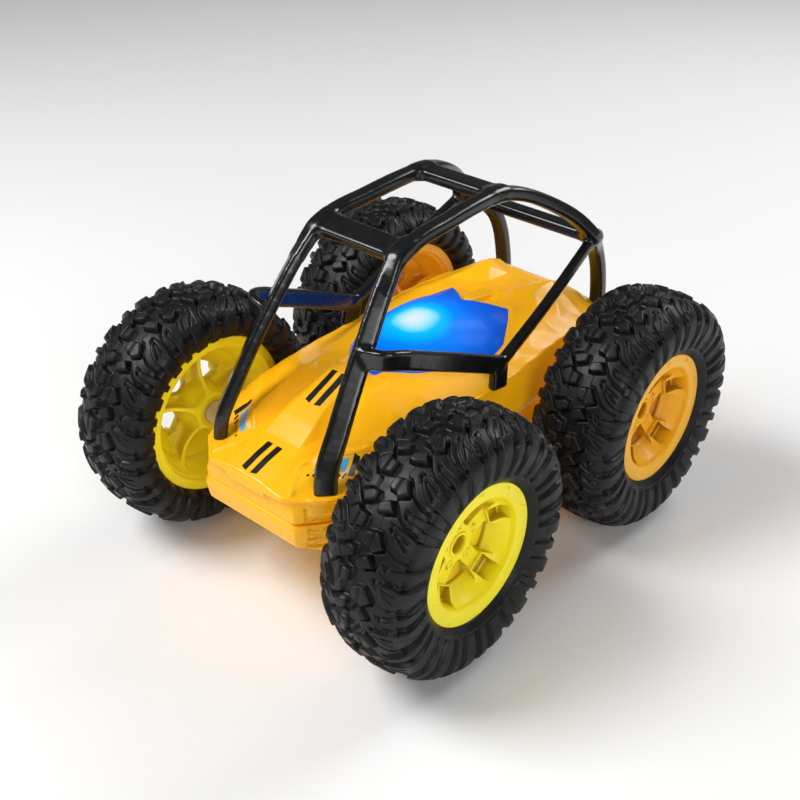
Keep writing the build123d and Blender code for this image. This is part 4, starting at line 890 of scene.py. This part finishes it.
def make_canopy():
    """Smooth lit dome with the V notch at its back."""
    hub_y = 6.0
    right = np.array(CANOPY_OUTLINE)
    outline = np.concatenate([right, (right[1:-1] * (-1, 1))[::-1]])
    count = 180
    angles = np.arange(count) * 2 * np.pi / count - np.pi / 2
    reach = []
    for dx, dy in zip(np.cos(angles), np.sin(angles)):
        best = 0.0
        for (ax, ay), (bx, by) in zip(outline, np.roll(outline, -1, axis=0)):
            ex, ey = bx - ax, by - ay
            turn = dx * ey - dy * ex
            if abs(turn) > 1e-9:
                t = (ax * ey - (ay - hub_y) * ex) / turn
                s = (ax * dy - (ay - hub_y) * dx) / turn
                if t > 0 and -1e-9 <= s <= 1 + 1e-9:
                    best = max(best, t)
        reach.append(best)
    reach = np.array(reach)
    front = np.abs(np.arctan2(np.cos(angles), -np.sin(angles))) < 2.2
    soft = (np.roll(reach, 1) + 2 * reach + np.roll(reach, -1)) / 4
    reach = np.where(front, soft, reach)
    levels = np.array(CANOPY_LEVELS)

    def dome(x, y):
        width = curve_through(levels[:, 0], levels[:, 1], np.clip(y, -35.2, 47.9))
        rim = curve_through(levels[:, 0], levels[:, 2], np.clip(y, -35.2, 47.9))
        crown = curve_through(levels[:, 0], levels[:, 3], np.clip(y, -35.2, 47.9))
        share = np.clip(np.abs(x) / width, 0.0, 1.0)
        return crown - (crown - rim) * share ** 2.3

    points, rings = [], 26
    for ring in range(1, rings + 1):
        share = 1 - (1 - ring / rings) ** 1.25
        x, y = reach * share * np.cos(angles), hub_y + reach * share * np.sin(angles)
        z = dome(x, y)
        points.append(np.stack([x, y, z], axis=1))
    edge = points[-1]
    outward = np.stack([np.cos(angles), np.sin(angles), np.zeros(count)], axis=1)
    points[-1] = edge - outward * 0.25
    points.append(edge + (0, 0, -0.35))
    points.append(edge + (0, 0, -0.9))
    points.append(edge + (0, 0, -5.5))
    points.append(edge - outward * 1.4 + (0, 0, -5.5))
    points.append(edge - outward * 1.6 + (0, 0, -2.4))
    total = len(points)
    points = np.concatenate(points + [np.array([[0.0, hub_y, float(dome(np.array(0.0), np.array(hub_y)))]]),
                                      np.array([[0.0, hub_y, 36.0]])])
    faces = []
    for a in range(count):
        b = (a + 1) % count
        faces.append((total * count, a, b))
        for ring in range(total - 1):
            faces.append((ring * count + a, (ring + 1) * count + a, (ring + 1) * count + b, ring * count + b))
        faces.append((total * count + 1, (total - 1) * count + b, (total - 1) * count + a))
    piece = make_piece("canopy_look", points + (0, 0, AXLE_Z), faces, CANOPY)
    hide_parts("canopy")
    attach(piece, "chassis")


# ---------------------------------------------------------------- carried-over CAD nodes
def finish_nodes():
    """Gives every CAD node that stays its material, and a soft edge to a few kinds of them."""
    kinds = {
        "gear_pins": STEEL, "motor_shaft": STEEL, "motor_pinion": BRASS, "motor": CAN, "gearbox": GEARBOX,
        "axle_gear": NYLON, "axle_bush": NYLON, "axle": STEEL, "idler_gear": NYLON, "centre_gear": NYLON,
        "reduction_gear": NYLON, "hub_collar": NYLON, "hub_screw": STEEL, "case_screws": STEEL, "cage_screws": STEEL,
        "circuit_board": circuit_material(), "led_board": circuit_material(), "battery_pack": wrap_material(),
        "led_lamp": lamp_material(), "power_switch": BLACK, "battery_cover": BODY, "upper_shell": BODY,
        "lower_shell": BODY, "canopy": CANOPY, "roll_cage": CAGE, "tyre": RUBBER,
        "hub_front": FRONT_HUB, "hub_rear": REAR_HUB,
    }
    for name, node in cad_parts.items():
        match = max((kind for kind in kinds if name.startswith(kind)), key=len)
        node.data.materials.clear()
        node.data.materials.append(kinds[match])
        if match in ("hub_collar", "lower_shell", "battery_cover", "power_switch", "axle_bush", "battery_pack"):
            edge = node.modifiers.new("soft_edge", "BEVEL")
            edge.width = 0.35 * MM
            edge.segments = 2
            edge.limit_method = "ANGLE"
            edge.angle_limit = 0.35


def body_material():
    """Orange-yellow body plastic with its printed stripes, ticks and blue flashes."""
    nodes = Nodes("body_plastic")
    x, y, z = nodes.split()
    side = nodes.math("ABSOLUTE", x)

    def edge(px, py, qx, qy):
        """Signed distance in metres, positive on the left of the line from p to q."""
        length = ((qx - px) ** 2 + (qy - py) ** 2) ** 0.5
        a, b = -(qy - py) / length, (qx - px) / length
        c = -(a * px + b * py) * MM
        return nodes.math("ADD", nodes.math("MULTIPLY_ADD", side, a, c), nodes.math("MULTIPLY", y, b))

    def inside(points):
        value = None
        for p, q in zip(points, points[1:] + points[:1]):
            distance = edge(*p, *q)
            value = distance if value is None else nodes.math("MINIMUM", value, distance)
        return nodes.ramp(value, -0.00006, 0.00006)

    ink = None

    def add_ink(mask):
        nonlocal ink
        ink = mask if ink is None else nodes.math("MAXIMUM", ink, mask)

    for back, front in ((-83.5, -99.0), (-45.5, -62.8)):
        add_ink(inside([(1.2, front), (4.3, front + 0.8), (4.3, back), (1.2, back)]))
    add_ink(inside([(33.0, -76.2), (35.4, -74.8), (32.2, -67.6), (29.8, -68.4)]))
    ticks = 7
    for index in range(ticks):
        t = index / (ticks - 1)
        px, py = 21.2 + 10.6 * t, -86.2 + 9.6 * t
        grow = 0.5 + 0.5 * t
        low, high = py - 1.2 * grow, py + 1.2 * grow
        add_ink(inside([(px - 0.5, low), (px + 0.5, low), (px + 0.5, high), (px - 0.5, high)]))
    ink = nodes.math("MULTIPLY", ink, nodes.ramp(z, (AXLE_Z + 10.0) * MM, (AXLE_Z + 10.1) * MM))
    sky = inside([(21.2, -83.8), (31.0, -75.0), (29.2, -70.6), (20.6, -81.6)])
    flow = nodes.noise(14.0, 1.5, distortion=0.6)
    tone = nodes.mix(nodes.ramp(flow, 0.3, 0.75), BODY_FLOW, BODY_LIGHT)
    tone = nodes.mix(sky, tone, (0.10, 0.42, 0.72))
    tone = nodes.mix(ink, tone, (0.008, 0.008, 0.009))
    nodes.link(tone, nodes.shader.inputs["Base Color"])
    # Painted glow: the body emits its own tone faintly (glow 0.12), standing in for light passing through the plastic.
    nodes.link(tone, nodes.shader.inputs["Emission Color"])
    gloss = nodes.ramp(nodes.noise(200.0, 5.0), 0.3, 0.75, 0.26, 0.36)
    nodes.bump([(nodes.noise(80.0, 2.0), 0.06, 0.8), (nodes.noise(2400.0, 2.0), 0.05, 0.05)])
    return nodes.finish(rough=gloss, coat=0.1, coat_rough=0.1, spec=0.32, glow=0.12)


def canopy_material():
    """Blue translucent dome, lit from below: the light is painted in as a glow, white at a hot spot near the middle and
    deep blue towards the rim.
    """
    nodes = Nodes("canopy_plastic")
    x, y, z = nodes.split()
    dy = nodes.math("SUBTRACT", y, 0.001)
    along = nodes.math("MULTIPLY", nodes.math("MULTIPLY", dy, dy), 0.7)
    spread = nodes.math("SQRT", nodes.math("ADD", nodes.math("MULTIPLY", x, x), along))
    drift = nodes.math("MULTIPLY", nodes.math("SUBTRACT", nodes.noise(55.0, 2.0), 0.5), 0.006)
    reach = nodes.math("ADD", spread, drift)
    # Painted light: the glow ramp runs from a white hot spot through cyan and blue to deep blue at the rim.
    glow = nodes.add("ShaderNodeValToRGB")
    nodes.link(nodes.ramp(reach, 0.0, 0.045), glow.inputs["Fac"])
    stops = glow.color_ramp.elements
    stops[0].position, stops[0].color = 0.0, (0.95, 1.0, 1.0, 1.0)
    stops[1].position, stops[1].color = 1.0, (0.0, 0.04, 0.36, 1.0)
    for place, colour in ((0.05, (0.45, 0.97, 1.0)), (0.13, (0.0, 0.62, 1.0)), (0.31, (0.0, 0.24, 1.0)),
                          (0.62, (0.0, 0.12, 0.66))):
        stop = stops.new(place)
        stop.color = (*colour, 1.0)
    nodes.link(nodes.mix(nodes.noise(40.0), (0.0, 0.03, 0.28), (0.0, 0.06, 0.38)), nodes.shader.inputs["Base Color"])
    nodes.link(glow.outputs["Color"], nodes.shader.inputs["Emission Color"])
    nodes.bump([(nodes.noise(120.0, 2.0), 0.03, 0.5)])
    return nodes.finish(rough=0.4, coat=0.04, coat_rough=0.1, spec=0.06, glow=0.85)


BODY = body_material()
CANOPY = canopy_material()

finish_nodes()
place_wheels()
make_cage()
make_upper_shell()
make_lower_shell()
make_canopy()


# ---------------------------------------------------------------- camera, floor and light
CAMERA_LENS = 55.33514775
def make_camera():
    data = bpy.data.cameras.new("camera")
    camera = bpy.data.objects.new("camera", data)
    bpy.context.scene.collection.objects.link(camera)
    data.sensor_width = 36.0
    data.lens = CAMERA_LENS
    data.clip_start = 0.01
    place = Vector((0.31254, -0.35495, 0.29682 + AXLE_Z * MM))
    forward = Vector((-0.5683057, 0.62994921, -0.52933224)).normalized()
    level = forward.cross(Vector((0, 0, 1))).normalized()
    roll = Matrix.Rotation(np.radians(0.105875282), 3, forward)
    right = roll @ level
    up = right.cross(forward)
    camera.matrix_world = Matrix.Translation(place) @ Matrix((right, up, -forward)).transposed().to_4x4()
    bpy.context.scene.camera = camera


def floor_material():
    nodes = Nodes("studio_floor")
    nodes.link(nodes.mix(nodes.noise(3.0), (0.93, 0.93, 0.93), (0.96, 0.96, 0.96)), nodes.shader.inputs["Base Color"])
    nodes.bump([(nodes.noise(200.0), 0.02, 0.2)])
    return nodes.finish(rough=0.75)


def make_stage():
    """Pale floor that curves up at its edge."""
    rings = ((2.0, 0.0), (2.5, 0.1), (2.8, 0.4), (3.0, 1.0))
    points, faces = [(0.0, 0.0, 0.0)], []
    count = 64
    for reach, height in rings:
        for index in range(count):
            turn = 2 * np.pi * index / count
            points.append((reach * np.cos(turn) / MM, reach * np.sin(turn) / MM, height / MM))
    for index in range(count):
        faces.append((0, 1 + index, 1 + (index + 1) % count))
        for ring in range(len(rings) - 1):
            a, b = 1 + ring * count + index, 1 + ring * count + (index + 1) % count
            faces.append((a, a + count, b + count, b))
    floor = make_piece("studio_floor", points, faces, floor_material())


def make_light(name, place, size, power, colour=(1, 1, 1)):
    data = bpy.data.lights.new(name, "AREA")
    data.shape = "RECTANGLE"
    data.size, data.size_y = size
    data.energy = power
    data.color = colour
    lamp = bpy.data.objects.new(name, data)
    bpy.context.scene.collection.objects.link(lamp)
    target = Vector((0, 0, 0.05))
    place = Vector(place)
    lamp.matrix_world = Matrix.Translation(place) @ (place - target).to_track_quat("Z", "Y").to_matrix().to_4x4()


def make_world():
    """Soft studio dome, brighter overhead than at the horizon."""
    world = bpy.data.worlds.new("studio")
    world.use_nodes = True
    tree = world.node_tree
    coords = tree.nodes.new("ShaderNodeTexCoord")
    split = tree.nodes.new("ShaderNodeSeparateXYZ")
    height = tree.nodes.new("ShaderNodeMapRange")
    tree.links.new(coords.outputs["Generated"], split.inputs[0])
    tree.links.new(split.outputs["Z"], height.inputs["Value"])
    for name, value in (("From Min", -0.1), ("From Max", 0.9), ("To Min", 1.2), ("To Max", 1.9)):
        height.inputs[name].default_value = value
    tree.links.new(height.outputs["Result"], tree.nodes["Background"].inputs["Strength"])
    bpy.context.scene.world = world
    bpy.context.scene.view_settings.view_transform = "Standard"


make_camera()
make_stage()
make_light("key", (-0.5, -0.6, 1.0), (0.6, 0.6), 13.0)
make_light("fill", (0.9, -0.5, 0.6), (0.5, 0.5), 4.0)
make_light("rear", (0.2, 0.9, 0.8), (0.7, 0.4), 6.0)
make_world()
